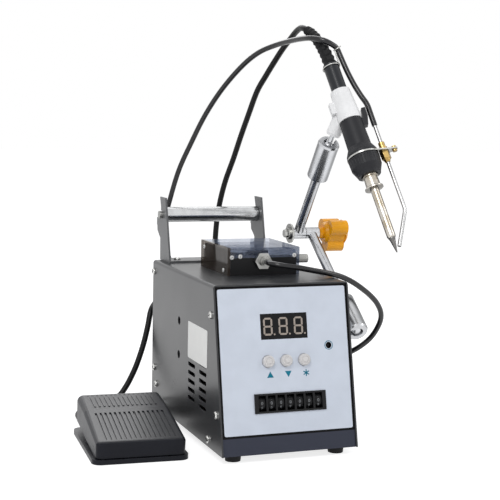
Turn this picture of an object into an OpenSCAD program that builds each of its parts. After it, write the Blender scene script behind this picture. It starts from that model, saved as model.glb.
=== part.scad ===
// Bench soldering station with a solder feeder, a foot pedal and an iron on a jointed arm.
// Millimetres. X runs across the case, Y to its back and Z up. The table is at z = 0.

/* [Case] */
// Width over the two side plates
case_w = 110; // [100:1:125]
// Height of the case above its feet
case_h = 124; // [118:1:140]
// Depth of the top plate
case_d = 158; // [150:1:180]
// How far the foot of the front stands ahead of its top
front_slant = 27.5; // [20:0.5:34]
// Thickness of the sheet metal
sheet = 1.2; // [1:0.1:1.6]
// Radius of the two long bends of the cover
bend_r = 2.6; // [2:0.1:4]
// Gap between the cover and the chassis that it slides over
cover_gap = 0.2; // [0.1:0.05:0.3]
// How deep the front and rear plates sit inside the cover
plate_inset = 1; // [0.6:0.1:2]
// Height of the rubber feet
foot_h = 6; // [5:0.5:9]
// Diameter of the rubber feet
foot_d = 13; // [10:0.5:16]
// From a foot's centre to the side of the case
foot_inset = 13; // [10:0.5:20]
// Length of a cooling slot
vent_l = 17.5; // [12:0.5:20]
// Height of a cooling slot
vent_h = 3.2; // [2.5:0.1:4]
// From one cooling slot to the next
vent_pitch = 6.7; // [6:0.1:7.5]
// Slots in one column
vent_count = 6; // [3:1:6]
// Diameter of the two round side holes
side_hole_d = 6.6; // [5:0.1:8]

/* [Front panel] */
// Thickness of the pale front sheet
overlay_t = 0.5; // [0.3:0.1:0.8]
// Dark border left round the pale front sheet
overlay_border = 3; // [2:0.1:4]
// Length of the pale front sheet down the slanted face
overlay_l = 109; // [106:0.5:111]
// Width of the three digit display
display_w = 37.6; // [34:0.1:40]
// Height of the display
display_h = 19; // [17:0.1:20]
// From the case's top edge to the middle of the display
display_v = 32.2; // [30:0.1:34]
// Depth of the display block
display_depth = 8; // [7:0.1:9]
// From the top edge to the row of buttons
button_v = 58.3; // [55:0.1:60]
// From one button to the next
button_pitch = 14.6; // [12:0.1:16]
// Diameter of a button cap
button_d = 9; // [7:0.1:10]
// How far a button stands out of the front sheet
button_out = 2.6; // [2:0.1:4]
// How far a button can be pressed
button_travel = 0.8; // [0.4:0.1:1]
// Gap round a button in its hole
button_gap = 0.2; // [0.1:0.05:0.3]
// Diameter of the lamp hole
lamp_d = 5; // [3:0.1:6]
// From the top edge to the lamp hole
lamp_v = 48.3; // [44:0.1:52]
// From the middle of the front to the lamp hole
lamp_x = 35.9; // [32:0.1:40]

/* [Thumbwheels] */
// Number of thumbwheels
wheel_count = 7; // [7:1:7]
// From one thumbwheel to the next
wheel_pitch = 7.62; // [7.3:0.01:7.8]
// Radius of a thumbwheel
wheel_r = 5.8; // [5:0.1:5.9]
// Width of a thumbwheel
wheel_w = 5; // [4:0.1:5.6]
// Outer length of the thumbwheel frame
bank_w = 57.9; // [57:0.1:60]
// Outer height of the thumbwheel frame
bank_h = 14.6; // [14:0.1:17]
// From the top edge to the middle of the frame
bank_v = 89.4; // [88:0.1:92]
// Depth of the frame behind the panel
bank_depth = 13; // [12:0.5:16]
// Radius of the shaft that carries the thumbwheels
wheel_shaft_r = 1; // [0.8:0.1:1.4]
// Radial clearance of everything that turns on a pin or shaft
run_gap = 0.05; // [0.03:0.01:0.08]

/* [Rear panel] */
// Width of the mains inlet block
inlet_w = 58; // [54:1:64]
// Height of the mains inlet block
inlet_h = 30; // [28:0.5:34]
// From the middle of the rear to the middle of the inlet
inlet_x = 16; // [10:0.5:18]
// From the case's base to the middle of the inlet
inlet_z = 30; // [26:0.5:36]
// Width of the connector well in the inlet
well_w = 24.5; // [23:0.1:26]
// Height of the connector well
well_h = 16.6; // [15.5:0.1:18]
// Depth of the connector well
well_depth = 17; // [14:0.5:20]
// Angle of the power rocker to each side
rocker_angle = 10; // [6:0.5:12]
// Diameter of the cord glands
gland_d = 12; // [10:0.1:14]
// Length of a gland outside the panel
gland_out = 10; // [8:0.5:13]

/* [Inside] */
// Width of the transformer core
core_w = 54; // [44:1:60]
// Height of the transformer core
core_h = 46; // [38:1:50]
// Thickness of the stack of core plates
core_t = 26; // [20:1:30]
// Thickness of a circuit board
board_t = 1.6; // [1.2:0.1:2]
// Diameter of the feed motor
motor_d = 25; // [20:0.5:28]
// Length of the feed motor
motor_l = 34; // [25:1:40]

/* [Feeder] */
// Width of the feeder box
feeder_w = 61; // [58:0.5:66]
// Depth of the feeder box
feeder_l = 66; // [64:0.5:72]
// Height of the feeder box
feeder_h = 22; // [20:0.5:26]
// From the back edge of the case to the feeder box
feeder_back = 45; // [42:0.5:48]
// From the middle of the case to the middle of the feeder box
feeder_x = 3.5; // [1:0.5:6]
// Wall of the clear cover
clear_t = 2.4; // [2:0.1:3]
// Height of the black block at the front of the feeder
block_h = 14; // [13:0.5:15]
// Height of the solder line above the case
line_h = 11.6; // [11:0.1:12.4]
// Radius of the drive wheel
drive_r = 8; // [7:0.1:8.5]
// Radius of the pressure roller
press_r = 6; // [5:0.1:6.5]
// Gap between drive wheel and pressure roller
nip_gap = 0.4; // [0.3:0.05:0.8]
// Diameter of the outlet stub
outlet_d = 7.6; // [7:0.1:8.4]
// Width across flats of the outlet nut
outlet_af = 12.4; // [11:0.1:14]
// Diameter of the knurled tension knob
tension_d = 7; // [6:0.1:8]
// Length of the knurled tension knob
tension_l = 10; // [8:0.5:12]

/* [Spool bracket] */
// Distance between the outer faces of the two ears
bracket_w = 88.5; // [84:0.5:92]
// From the left side of the case to the left ear
bracket_inset = 7; // [5:0.5:9]
// Height of the ears above the case
ear_h = 54; // [50:1:60]
// Thickness of the bracket's sheet
ear_t = 1.6; // [1.4:0.1:2]
// Height of the roller's axis above the case
roller_z = 39; // [36:0.5:41]
// From the back edge of the case to the roller's axis
roller_inset = 1; // [0:0.5:4]
// Diameter of the roller
roller_d = 13; // [12:0.1:15]
// Diameter of the roller's axle
axle_d = 6; // [5:0.1:6.4]
// Gap between the axle and the slots that it lies in
slot_gap = 0.3; // [0.2:0.05:0.5]

/* [Arm] */
// From the side of the case to the lower ball
stud_reach = 13; // [12.6:0.1:15]
// From the front edge of the case back to the lower ball
ball_y = 10; // [7:0.5:14]
// From the top of the case down to the lower ball
ball_drop = 39; // [36:0.5:42]
// Diameter of the two steel balls
ball_d = 10; // [9:0.1:10.4]
// Diameter of the two ball sockets
socket_d = 17.5; // [17:0.1:18.4]
// Length of the two ball sockets
socket_l = 37; // [34:0.5:40]
// Diameter of the arm tubes
tube_d = 8; // [7.4:0.1:8.6]
// From the lower ball to the elbow
lower_len = 113.6; // [110:0.1:118]
// Angle of the lower arm above the table
lower_lift = 35.5; // [33:0.5:38]
// From the elbow to the upper ball
upper_len = 93.6; // [90:0.1:98]
// Angle of the upper arm, from the back round over the top
upper_lift = 127.1; // [124:0.1:130]
// Length of each elbow sleeve
sleeve_l = 12; // [10.5:0.1:12]
// Diameter of the elbow sleeves
sleeve_d = 9.6; // [9:0.1:10.4]
// Diameter of the elbow bolt
bolt_d = 5; // [4.4:0.1:5.4]
// Overall diameter of the elbow knob
knob_d = 32; // [28:0.5:34]
// Length of the elbow knob
knob_l = 20; // [17:0.5:22]

/* [Iron] */
// Where the iron's axis passes the clamp, from the upper ball
clamp_reach = [10.5, -8.5, 32.5];
// Angle of the iron below the horizontal
iron_dip = 57.8; // [56:0.1:60]
// Direction that the tip points to, seen from above
iron_heading = -76.8; // [-78:0.1:-75]
// Turn of the iron about its own axis
iron_roll = 120; // [118:1:122]
// Diameter of the handle's tail
tail_d = 12.6; // [12:0.1:13.4]
// Length of the handle's tail behind the clamp
tail_l = 25; // [22:0.5:28]
// Length of the clamp along the iron
clamp_l = 27.4; // [25:0.1:29]
// Diameter of the clamp at its upper end
clamp_top_d = 16; // [15.4:0.1:17]
// Diameter of the grip beside the clamp
grip_d = 18; // [17.4:0.1:19]
// Length of the grip
grip_l = 31.5; // [28:0.5:34]
// Greatest diameter of the grip and of its nut
nut_d = 25; // [23:0.1:26]
// Length of the ribbed nut
nut_l = 16; // [14:0.5:18]
// Number of ribs on the nut
nut_ribs = 30; // [20:1:36]
// Diameter of the barrel
barrel_d = 7; // [6.4:0.1:7.6]
// Length of the barrel
barrel_l = 42; // [38:0.5:46]
// Length of the tip outside the barrel
tip_l = 12.5; // [10:0.5:15]

/* [Solder guide] */
// From the iron's axis to the guide needle
guide_s = 17.2; // [16.4:0.1:18]
// Thickness of the guide plate
plate_t = 1.2; // [1:0.1:1.5]
// Outer diameter of the guide needle
needle_d = 3; // [2.6:0.1:3.2]
// Bore of the guide needle
needle_bore = 1.4; // [1:0.1:1.6]
// Angle of the bend in the needle
needle_bend = 27; // [24:0.5:29]
// Length of the needle past its bend
needle_end_l = 28; // [26:0.5:30]

/* [Foot pedal] */
// Width of the pedal's base
pedal_w = 73; // [68:0.5:78]
// Length of the pedal
pedal_l = 98; // [92:1:104]
// Height of the pedal at the back
pedal_h = 31; // [28:0.5:34]
// Height of the pedal's front edge
pedal_front_h = 17; // [15:0.5:19]
// Thickness of the pedal's base plate
pedal_base_t = 3.6; // [3:0.1:4.5]
// Wall of the treadle
treadle_t = 2.4; // [2:0.1:3]
// How far the treadle can be pressed down
treadle_angle = 3.5; // [2:0.1:4]
// Middle of the pedal's front edge, from the case's left side and front top edge
pedal_off = [-53.7, -2.3];
// Turn of the pedal on the table
pedal_turn = -4; // [-5:0.5:-3]

/* [Cords] */
// Diameter of the solder feed tube
feed_d = 4.5; // [4:0.1:4.6]
// Diameter of the iron's cord
iron_cord_d = 5; // [4.5:0.1:5.2]
// Diameter of the pedal's cord
pedal_cord_d = 5; // [4.5:0.1:5]

/* [Hidden] */

// One overrun for every cut
cut = 1;
// One small step for bevels and lips
edge = 1;
// Faces round a full turned surface
$fn = 48;

// Case
top_z = foot_h + case_h;
face_a = atan2(front_slant, case_h);
inner_w = case_w - 2 * sheet;
chassis_w = inner_w - 2 * cover_gap;
panel_back = -plate_inset - sheet;
rear_y = case_d - plate_inset;
vent_gap_y = 10;
vent_y = 11.7;
vent_z = 60;
hole_y = 82;
hole_z = [84, 56.3];
screw_r = 1.5;
screw_head_r = 2.9;
screw_head_h = 1.8;
screw_l = 5;
screw_in = 7.9;
screw_high = 22.6;
screw_low = 28.8;
lip_w = 11;
rear_lip_w = 17;
// Side screws, from the front top edge and the base
side_screws = [[case_d - 4, case_h - 9.3], [case_d - 7, 31.8], [case_d - 13.8, 18.6],
               front_spot(case_h - screw_high), front_spot(screw_low), [4.5, 5.9]];

// Front panel
standoff_r = 2;
board_n = -16;
board_w = 88;
board_l = 62;
board_v = 46;
tact_w = 6;
tact_h = 3.6;
plunger_r = 1.7;
plunger_h = 4.2;
press_gap = 0.1;
digit_w = 7.4;
digit_h = 13.4;
digit_pitch = 12.4;
segment_w = 1.4;
segment_t = 0.25;
cap_flange = 1.2;

// Thumbwheels
bezel_t = 0.9;
bank_wall = 0.7;
bank_x = (bank_w - 1) * 0.03;
wheel_back = 0.25;
wheel_teeth = 10;
tooth_r = 0.9;

// Rear panel
rocker_w = 12.4;
rocker_h = 18.6;
rocker_t = 9;
rocker_pin_r = 1.2;
gland_x = [8, -32];
gland_low = [26, 32];
gland_z = [for (low = gland_low) case_h - low];
well_wall = 1.4;
blade_w = 4;
blade_t = 2;
core_back = 44;

// Feeder
drive_h = 7;
drive_y = 35;
shaft_r = 1.5;
lever_t = 2.6;
lever_w = 7;
press_pin_r = 1.6;
pivot_back = 20;
pivot_side = 6;
feeder_floor = 2;
tension_y = 8.5;
line_off = 1.5;
feeder_y = case_d - feeder_back - feeder_l;
feeder_mid_x = feeder_x;
line_x = feeder_mid_x - line_off;
knurl_r = 0.6;

// Reel bracket
roller_y = case_d - roller_inset;
bracket_l = 23;
bracket_hole = [10, 13];

// Arm
mount_w = 20;
mount_h = 25;
mount_t = 2;
stud_r = 2.5;
ball_clear = 0.06;
lip_t = 1.4;
mouth_r = 4.3;
ball_sink = 4.2;
slot_w = 2 * stud_r + 0.8;
tube_wall = 1;
sleeve_gap = 0.4;
bolt_head_r = 8.2;
bolt_head_t = 1.6;
knob_neck = 4;

// Iron
clamp_gap = 0.15;
foot_r = 6;
flare_l = 7;
ring_d = 13;
ring_l = 12;
clip_d = 1;
eye_gap = 0.4;
eye_dir = [0.336, -0.39, 0.857];
eye_at = [9.1, 2.6, -50.6];

// Guide
fitting_r = 3.4;
fitting_up = 7;
fitting_down = 9;
fitting_head = 2.4;
bush_wall = 1.2;
bolt_off = 8.4;
plate_end_r = 2.6;
plate_rim = 0.4;
small_head_r = 1.9;
small_head_h = 1.6;
needle_up = 24;
needle_run = 31.6;
needle_bend_r = 12;

// Pedal
pedal_r = 7;
pivot_v = 13;
pivot_h = 9.4;
pedal_pin_r = 2;
treadle_in = 2.6;
treadle_lift = 0.7;
kink_share = 0.6;
groove_w = 1.6;
groove_d = 0.7;
groove_pitch = 3.7;
groove_count = 15;
spring_v = pedal_l * 5 / 7;
spring_r = 4;
spring_wire = 0.6;
treadle_r = 5;
switch_u = 17;
switch_v = pedal_l * 0.49;
switch_w = 10;
switch_h = 13;

// Cord coil
coil_reach = [33.3, 37.3];
coil_pitch = 5.5;
coil_out_r = 32;
coil_in_turns = 2.5;
coil_out_turns = 2.25;
coil_steps = 24;
coil_lead = [[-32.6, -27, 3.7], [-32.4, -21.5, 3.6], [-32.1, -13.5, 3], [-32, -6, 2.6]];
coil_end = [4, 30.5, 8.1];

// The arm's points and directions
base_ball = [case_w / 2 + stud_reach, ball_y, top_z - ball_drop];
lower_dir = [0, cos(lower_lift), sin(lower_lift)];
upper_dir = [0, cos(upper_lift), sin(upper_lift)];
elbow = base_ball + lower_len * lower_dir;
upper_x = base_ball[0] - sleeve_l - sleeve_gap;
upper_ball = [upper_x, elbow[1], elbow[2]] + upper_len * upper_dir;
iron_mid = upper_ball + clamp_reach;
stud_len = norm(clamp_reach);
stud_dir = clamp_reach / stud_len;
knob_end_x = base_ball[0] + sleeve_l / 2 + sleeve_gap + knob_l + knob_neck;
// Places along the iron, from the middle of the clamp
clamp_t0 = -clamp_l / 2;
clamp_t1 = clamp_l / 2;
tail_t0 = clamp_t0 - tail_l;
grip_t1 = clamp_t1 + grip_l;
nut_t0 = grip_t1 + plate_t;
nut_t1 = nut_t0 + nut_l;
barrel_t0 = nut_t1 + ring_l;
barrel_t1 = barrel_t0 + barrel_l;
needle_bend_t = nut_t1 + needle_run;

// Under the middle of the whole station
pedal_place = [pedal_off[0] - case_w / 2, pedal_off[1]];
function pedal_x(u, v) = pedal_place[0] + u * cos(pedal_turn) - v * sin(pedal_turn);
function pedal_y(u, v) = pedal_place[1] + u * sin(pedal_turn) + v * cos(pedal_turn);
left_x = pedal_x(-pedal_w / 2, 0);
right_x = knob_end_x;
tip_dir = [cos(iron_dip) * cos(iron_heading), cos(iron_dip) * sin(iron_heading), -sin(iron_dip)];
front_y = iron_mid[1] + (barrel_t1 + tip_l) * tip_dir[1];
back_y = roller_y + 4.6 * (axle_d / 2 + slot_gap);
origin = [(left_x + right_x) / 2, (front_y + back_y) / 2, 0];

// Cord routes from the middle of the case's front edge, and what they were laid for
route_case = [110, 158, 130];
route_outlet = [2, 47];
route_coil = [-93, 134.5];
route_iron = [66.1, 37.52, 264.12];
// Where a route begins and ends to follow each of them
route_low = [8, 50];
route_high = [50, 92];
route_front = [100, 138];
route_up = [178, 297];
route_back = [60, 150];
route_side = [35, 55];
feed_route = [
    [2, 35.6, 141.6], [2, 29, 141.6], [6, 24, 141], [13, 22, 140], [24, 21, 138.4],
    [36, 21, 136], [48, 22, 133.6], [60, 24, 130.4], [71, 26, 125.6], [82, 29, 119],
    [92, 33, 112], [100, 37, 104.6], [106, 42, 95.6], [107.6, 48, 86], [103, 54, 73.6],
    [92, 58, 64], [82, 66, 58], [73, 84, 54], [67, 108, 52], [65, 132, 53],
    [63, 154, 57], [56, 172, 63], [42, 185, 69], [24, 191, 76], [4, 194, 86],
    [-14, 195, 100], [-27, 196, 120], [-33, 196, 143], [-32, 196, 166], [-29.8, 195, 178],
    [-22, 194, 205], [-12.4, 190, 229], [-2, 182, 254.6], [9, 170, 277.2], [20.4, 152, 297],
    [29.4, 136, 308.4], [38.6, 119, 314.6], [43.6, 98, 317.4], [46, 82, 318.4], [49.2, 69, 318.4],
    [56.6, 60.6, 316.4], [64, 59.4, 313], [67.5, 59.7, 310.5], [69.6, 57.4, 304.6],
    [71.4, 54.4, 298.4], [73.6, 49.8, 290.4], [76.6, 43.4, 280.8], [79.8, 37.6, 272.8],
    [82.6, 32.3, 266.2], [84, 26.6, 257], [84.6, 24, 252.6], [85, 22.3, 249.8]];
iron_route = [
    [51.9, 85.4, 325.6], [51, 88.4, 326.9], [50.8, 92.6, 327.8], [50.8, 98, 327.6],
    [50.6, 106, 325], [50, 114, 320.6], [47.6, 125, 312.6],
    [44.6, 136, 302], [40.6, 147, 289], [36.8, 157, 276], [33, 168, 254.6], [29.4, 176, 236],
    [25.4, 183, 216], [20.8, 190, 196], [17.6, 194, 178], [15.4, 196, 160], [13.4, 194, 142],
    [11, 189, 126], [9, 181, 113.6], [8.1, 174, 105], [8, 170.6, 104.2], [8, 167.3, 104]];
pedal_route = [
    [-32, 167.3, 98], [-32, 170.6, 98], [-33, 174.6, 97.6], [-36, 179, 96], [-42, 181, 92],
    [-48, 178.6, 87.6],
    [-52.6, 173, 82.4], [-56, 169.6, 70], [-60.4, 168, 54], [-66.6, 167, 36.6],
    [-72.4, 166.6, 24.4], [-77, 166, 17], [-82, 165.4, 11], [-88.6, 165, 8.2]];
relief_route = [[61.3, 58, 297.5], [59.6, 63.6, 306], [57.6, 69.6, 313.4], [55.4, 75.6, 319.4],
                [53.4, 80.6, 323.4], [52, 85, 325.4]];

coil_at = [pedal_x(coil_tail_u(), pedal_l), pedal_y(coil_tail_u(), pedal_l)] + coil_reach;
function share(v, span) = max(0, min(1, (v - span[0]) / (span[1] - span[0])));
function follow(route) = [for (q = route)
    let (low = share(q[2], route_low), up = share(q[2], route_up),
         grow = [case_w, case_d, top_z] - route_case, back = share(q[1], route_back),
         outlet = ([line_x, feeder_y] - route_outlet) * share(q[2], route_front) * (1 - back),
         bench = [coil_at[0] - route_coil[0], coil_at[1] - route_coil[1], 0],
         box = [outlet[0] + sign(q[0]) * share(abs(q[0]), route_side) * grow[0] / 2,
                outlet[1] + back * grow[1], share(q[2], route_high) * grow[2]])
    q + (1 - low) * bench + low * (1 - up) * box + up * (iron_mid - route_iron)];
feed_points = follow(feed_route);
iron_points = follow(iron_route);
pedal_points = follow(pedal_route);
relief_points = follow(relief_route);

// Small tools

function unit(v) = v / norm(v);
function front_spot(h) = [face_y(foot_h + h, 0) + screw_in, h];
function face_y(z, n) = -(top_z - z) * tan(face_a) - n / cos(face_a);
function tangents(p) = [for (i = [0:len(p) - 1]) unit(p[min(i + 1, len(p) - 1)] - p[max(i - 1, 0)])];
function sides_of(t) = [for (i = 0, n = unit(cross(t[0], [0.3, 0.2, 1])); i < len(t);
                             i = i + 1, n = i < len(t) ? unit(n - (n * t[i]) * t[i]) : n) n];
function spread(p, r, count) = let (t = tangents(p), s = sides_of(t)) [
    for (i = [0:len(p) - 1], k = [0:count - 1])
        let (a = 360 * k / count, w = cross(t[i], s[i]))
            p[i] + (is_list(r) ? r[i] : r) * (cos(a) * s[i] + sin(a) * w)];
function skin(rings, count) = concat(
    [for (k = [1:count - 2]) [0, k, k + 1]],
    [for (i = [0:rings - 2], k = [0:count - 1])
        [i * count + k, (i + 1) * count + k, i * count + (k + 1) % count]],
    [for (i = [0:rings - 2], k = [0:count - 1])
        [i * count + (k + 1) % count, (i + 1) * count + k, (i + 1) * count + (k + 1) % count]],
    [for (k = [1:count - 2]) [(rings - 1) * count, (rings - 1) * count + k + 1, (rings - 1) * count + k]]);

// A tube of straight sides swept along points
module swept(points, r, count = 8) {
    polyhedron(spread(points, r, count), skin(len(points), count));
}

module up(z) {
    translate([0, 0, z]) children();
}

// Everything is drawn round the case and then moved over the origin
module station() {
    translate(-origin) children();
}

// Children drawn on the slanted face: x across, y up the face, z out of it
module on_front(x, v) {
    translate([x, -v * sin(face_a), top_z - v * cos(face_a)]) rotate([90 - face_a, 0, 0]) children();
}

// Children drawn on the iron: z towards the tip, x towards the solder guide
module on_iron(t = 0) {
    translate(iron_mid) rotate([0, 90 + iron_dip, iron_heading]) rotate([0, 0, iron_roll])
        up(t) children();
}

// Children with their z axis turned along a direction
module along(at, dir) {
    translate(at) rotate([0, acos(dir[2] / norm(dir)), atan2(dir[1], dir[0])]) children();
}

// Children drawn on the pedal, from the middle of its front edge
module on_pedal() {
    translate([pedal_place[0], pedal_place[1], 0]) rotate([0, 0, pedal_turn]) children();
}

module round_plate(w, l, r) {
    square([w - 2 * r, l], center = true);
    square([w, l - 2 * r], center = true);
    for (x = [-1, 1], y = [-1, 1]) translate([x * (w / 2 - r), y * (l / 2 - r)]) circle(r);
}

module slot(l, h) {
    square([l - h, h], center = true);
    for (x = [-1, 1]) translate([x * (l - h) / 2, 0]) circle(h / 2);
}

module screw() {
    cylinder(r = screw_head_r, h = screw_head_h * 0.6);
    up(screw_head_h * 0.6)
        cylinder(r1 = screw_head_r, r2 = screw_head_r * 0.7, h = screw_head_h * 0.4);
    up(-screw_l) cylinder(r = screw_r, h = screw_l);
}

module hex(af, h) {
    cylinder(d = af / cos(30), h = h, $fn = 6);
}

// Case

module side_outline(grow_front, grow_back, low, high) {
    polygon([[face_y(low, grow_front), low], [face_y(high, grow_front), high],
             [case_d + grow_back, high], [case_d + grow_back, low]]);
}

module across(w) {
    rotate([90, 0, 90]) linear_extrude(w, center = true) children();
}

module vents() {
    for (side = [-1, 1], col = [0, 1], i = [0:vent_count - 1])
        translate([side * case_w / 2, vent_y + vent_l / 2 + col * (vent_l + vent_gap_y),
                   foot_h + vent_z + col - i * vent_pitch])
            rotate([90, 0, 90]) linear_extrude(4 * sheet, center = true) slot(vent_l, vent_h);
}

module screw_spots() {
    for (side = [-1, 1], p = side_screws)
        translate([side * case_w / 2, p[0], foot_h + p[1]]) rotate([0, side * 90, 0]) children();
}

module bracket_spots() {
    for (x = [bracket_x0 + bracket_hole[0], bracket_x1 - bracket_hole[0]])
        translate([x, roller_y - bracket_hole[1], top_z]) children();
}

module cover_bend() {
    rotate([90, 0, 0]) linear_extrude(2 * case_d + 4 * front_slant, center = true) {
        translate([-case_w / 2, 0]) square([case_w, top_z - bend_r]);
        translate([-case_w / 2 + bend_r, 0]) square([case_w - 2 * bend_r, top_z]);
        for (x = [-1, 1]) translate([x * (case_w / 2 - bend_r), top_z - bend_r]) circle(bend_r);
    }
}

module case_cover() {
    color("dimgray") station() difference() {
        intersection() {
            across(case_w) side_outline(0, 0, foot_h, top_z);
            cover_bend();
        }
        across(inner_w) side_outline(4 * cut, 4 * cut, foot_h - cut, top_z - sheet);
        vents();
        for (z = hole_z) translate([-case_w / 2, hole_y, foot_h + z]) rotate([0, 90, 0])
            cylinder(d = side_hole_d, h = 4 * sheet, center = true);
        screw_spots() cylinder(r = screw_r + run_gap, h = 4 * sheet, center = true);
        bracket_spots() cylinder(r = screw_r + run_gap, h = 4 * sheet, center = true);
        translate([feeder_mid_x - drive_off, feeder_y + drive_y, top_z])
            cylinder(r = shaft_r + button_gap, h = 4 * sheet, center = true);
        translate([case_w / 2, ball_y, base_ball[2]]) rotate([0, 90, 0])
            cylinder(r = stud_r + button_gap, h = 4 * sheet, center = true);
    }
}

module plate_outline() {
    difference() {
        polygon([[face_y(foot_h, -plate_inset), foot_h],
                 [face_y(top_z - sheet - cover_gap, -plate_inset), top_z - sheet - cover_gap],
                 [rear_y, top_z - sheet - cover_gap], [rear_y, foot_h]]);
        polygon([[face_y(foot_h + sheet, panel_back), foot_h + sheet],
                 [face_y(top_z + cut, panel_back), top_z + cut],
                 [rear_y - sheet, top_z + cut], [rear_y - sheet, foot_h + sheet]]);
    }
}

// Lips bent back along the front, the base and the rear, under the side plates
module lip_outline() {
    top = top_z - sheet - cover_gap;
    difference() {
        polygon([[face_y(foot_h, -plate_inset), foot_h], [face_y(top, -plate_inset), top],
                 [rear_y, top], [rear_y, foot_h]]);
        polygon([[face_y(foot_h + lip_w, -lip_w), foot_h + lip_w], [face_y(top + cut, -lip_w), top + cut],
                 [rear_y - rear_lip_w, top + cut], [rear_y - rear_lip_w, foot_h + lip_w]]);
    }
}

module front_cuts(gap) {
    on_front(0, display_v) cube([display_w + 2 * gap, display_h + 2 * gap, 8 * cut], center = true);
    for (i = [-1:1]) on_front(i * button_pitch, button_v)
        cylinder(d = button_d + 2 * button_gap, h = 8 * cut, center = true);
    on_front(bank_x, bank_v)
        cube([bank_w - 2 * bank_wall + 2 * gap, bank_h - 2 * bank_wall + 2 * gap, 8 * cut], center = true);
    on_front(lamp_x, lamp_v) cylinder(d = lamp_d, h = 8 * cut, center = true);
}

module foot_spots() {
    for (x = [-1, 1], y = [foot_inset - front_slant, case_d - foot_inset])
        translate([x * (case_w / 2 - foot_inset), y, 0]) children();
}

module chassis() {
    color("#1d2127") station() difference() {
        union() {
            across(chassis_w) plate_outline();
            for (s = [-1, 1]) translate([s * (chassis_w - sheet) / 2, 0, 0]) across(sheet) lip_outline();
            for (x = [-1, 1], y = [-1, 1])
                on_front(x * (board_w / 2 - 2 * standoff_r), board_v + y * (board_l / 2 - 2 * standoff_r))
                    up(board_n) cylinder(r = standoff_r, h = panel_back - board_n);
        }
        front_cuts(cover_gap);
        screw_spots() up(-sheet - screw_l - cut)
            cylinder(r = screw_r + run_gap, h = screw_l + 2 * cut);
        translate([inlet_x, case_d, foot_h + inlet_z])
            cube([inlet_w - 3 * well_wall, 8 * cut, inlet_h - 2 * well_wall], center = true);
        for (i = [0, 1]) translate([gland_x[i], case_d, foot_h + gland_z[i]]) rotate([90, 0, 0])
            cylinder(d = gland_d * 0.75, h = 8 * cut, center = true);
        foot_spots() up(foot_h) cylinder(r = screw_r + run_gap, h = 4 * sheet, center = true);
    }
}

module front_overlay() {
    color("#d5dfee") station() difference() {
        on_front(0, overlay_border + overlay_l / 2) up(-plate_inset)
            linear_extrude(overlay_t)
                round_plate(case_w - 2 * overlay_border, overlay_l, overlay_border / 2);
        front_cuts(cover_gap);
    }
}

module case_screws() {
    color("silver") station() {
        screw_spots() screw();
        bracket_spots() up(ear_t) screw();
    }
}

module case_feet() {
    color("#202020") station() foot_spots() {
        difference() {
            cylinder(d1 = foot_d * 0.9, d2 = foot_d, h = foot_h);
            up(-cut) cylinder(d = foot_d * 0.4, h = foot_h / 2 + cut);
        }
        up(foot_h) cylinder(r = screw_r, h = 2 * sheet);
    }
}

// Front panel pieces

module display_module() {
    color("#15151a") station() on_front(0, display_v)
        up(-plate_inset + overlay_t - display_depth / 2)
            cube([display_w, display_h, display_depth], center = true);
    color("#b9ada6") station() for (i = [-1:1]) on_front(i * digit_pitch - segment_w / 2, display_v)
        up(-plate_inset + overlay_t - segment_t) linear_extrude(2 * segment_t) digit();
}

// One segment lies along x with pointed ends
module segment(l) {
    polygon([[-l / 2, 0], [-l / 2 + segment_w / 2, segment_w / 2], [l / 2 - segment_w / 2, segment_w / 2],
             [l / 2, 0], [l / 2 - segment_w / 2, -segment_w / 2], [-l / 2 + segment_w / 2, -segment_w / 2]]);
}

module digit() {
    half = (digit_h - segment_w) / 2;
    reach = digit_w - segment_w;
    gap = segment_w / 5;
    for (j = [-1:1]) translate([0, j * half]) segment(reach - gap);
    for (x = [-1, 1], j = [-1, 1]) translate([x * reach / 2, j * half / 2]) rotate(90) segment(half - gap);
    translate([reach / 2 + 1.5 * segment_w, -half]) circle(segment_w / 2, $fn = 16);
}

module control_board() {
    stem_n = tact_seat();
    color("darkgreen") station() {
        on_front(0, board_v) up(board_n - board_t) linear_extrude(board_t)
            square([board_w, board_l], center = true);
        on_front(0, display_v) up(board_n)
            linear_extrude(display_back() - board_n)
                square([display_w * 0.8, display_h * 0.6], center = true);
        for (i = [-1:1]) on_front(i * button_pitch, button_v) up(board_n) {
            linear_extrude(tact_h) square(tact_w, center = true);
            cylinder(r = plunger_r, h = stem_n - board_n);
        }
    }
}

function display_back() = -plate_inset + overlay_t - display_depth;
function tact_seat() = board_n + tact_h + plunger_h;

module button(i) {
    seat = tact_seat() + button_travel + press_gap;
    flange = panel_back - button_gap;
    color("#dddcd8") station() on_front(i * button_pitch, button_v) {
        up(flange - cap_flange) cylinder(d = button_d + 2 * cap_flange, h = cap_flange);
        up(flange - cap_flange) cylinder(d = button_d, h = button_out - flange);
        up(seat) cylinder(r = plunger_r, h = flange - seat);
        up(button_out - cap_flange) intersection() {
            cylinder(d = button_d, h = 2 * cap_flange);
            up(cap_flange - button_d) sphere(r = sqrt(2) * button_d * 0.76);
        }
    }
}

module button_up() { button(-1); }
module button_down() { button(0); }
module button_set() { button(1); }

// Thumbwheels

function wheel_axis() = -plate_inset + overlay_t + wheel_back - wheel_r;

module wheel_frame() {
    body_w = bank_w - 2 * bank_wall;
    body_h = bank_h - 2 * bank_wall;
    color("#17181b") station() on_front(bank_x, bank_v) {
        difference() {
            union() {
                up(-plate_inset + overlay_t) linear_extrude(bezel_t)
                    square([bank_w, bank_h], center = true);
                up(-bank_depth) linear_extrude(bank_depth - plate_inset + overlay_t)
                    square([body_w, body_h], center = true);
            }
            for (i = [0:wheel_count - 1]) translate([(i - (wheel_count - 1) / 2) * wheel_pitch, 0, 0])
                up(bank_wall + (bezel_t - bank_depth) / 2)
                    cube([wheel_w + 2 * cover_gap + bank_wall, body_h - 2 * bank_wall, bank_depth + bezel_t],
                         center = true);
        }
        up(wheel_axis()) rotate([0, 90, 0])
            cylinder(r = wheel_shaft_r, h = body_w - bank_wall, center = true);
    }
}

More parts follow.
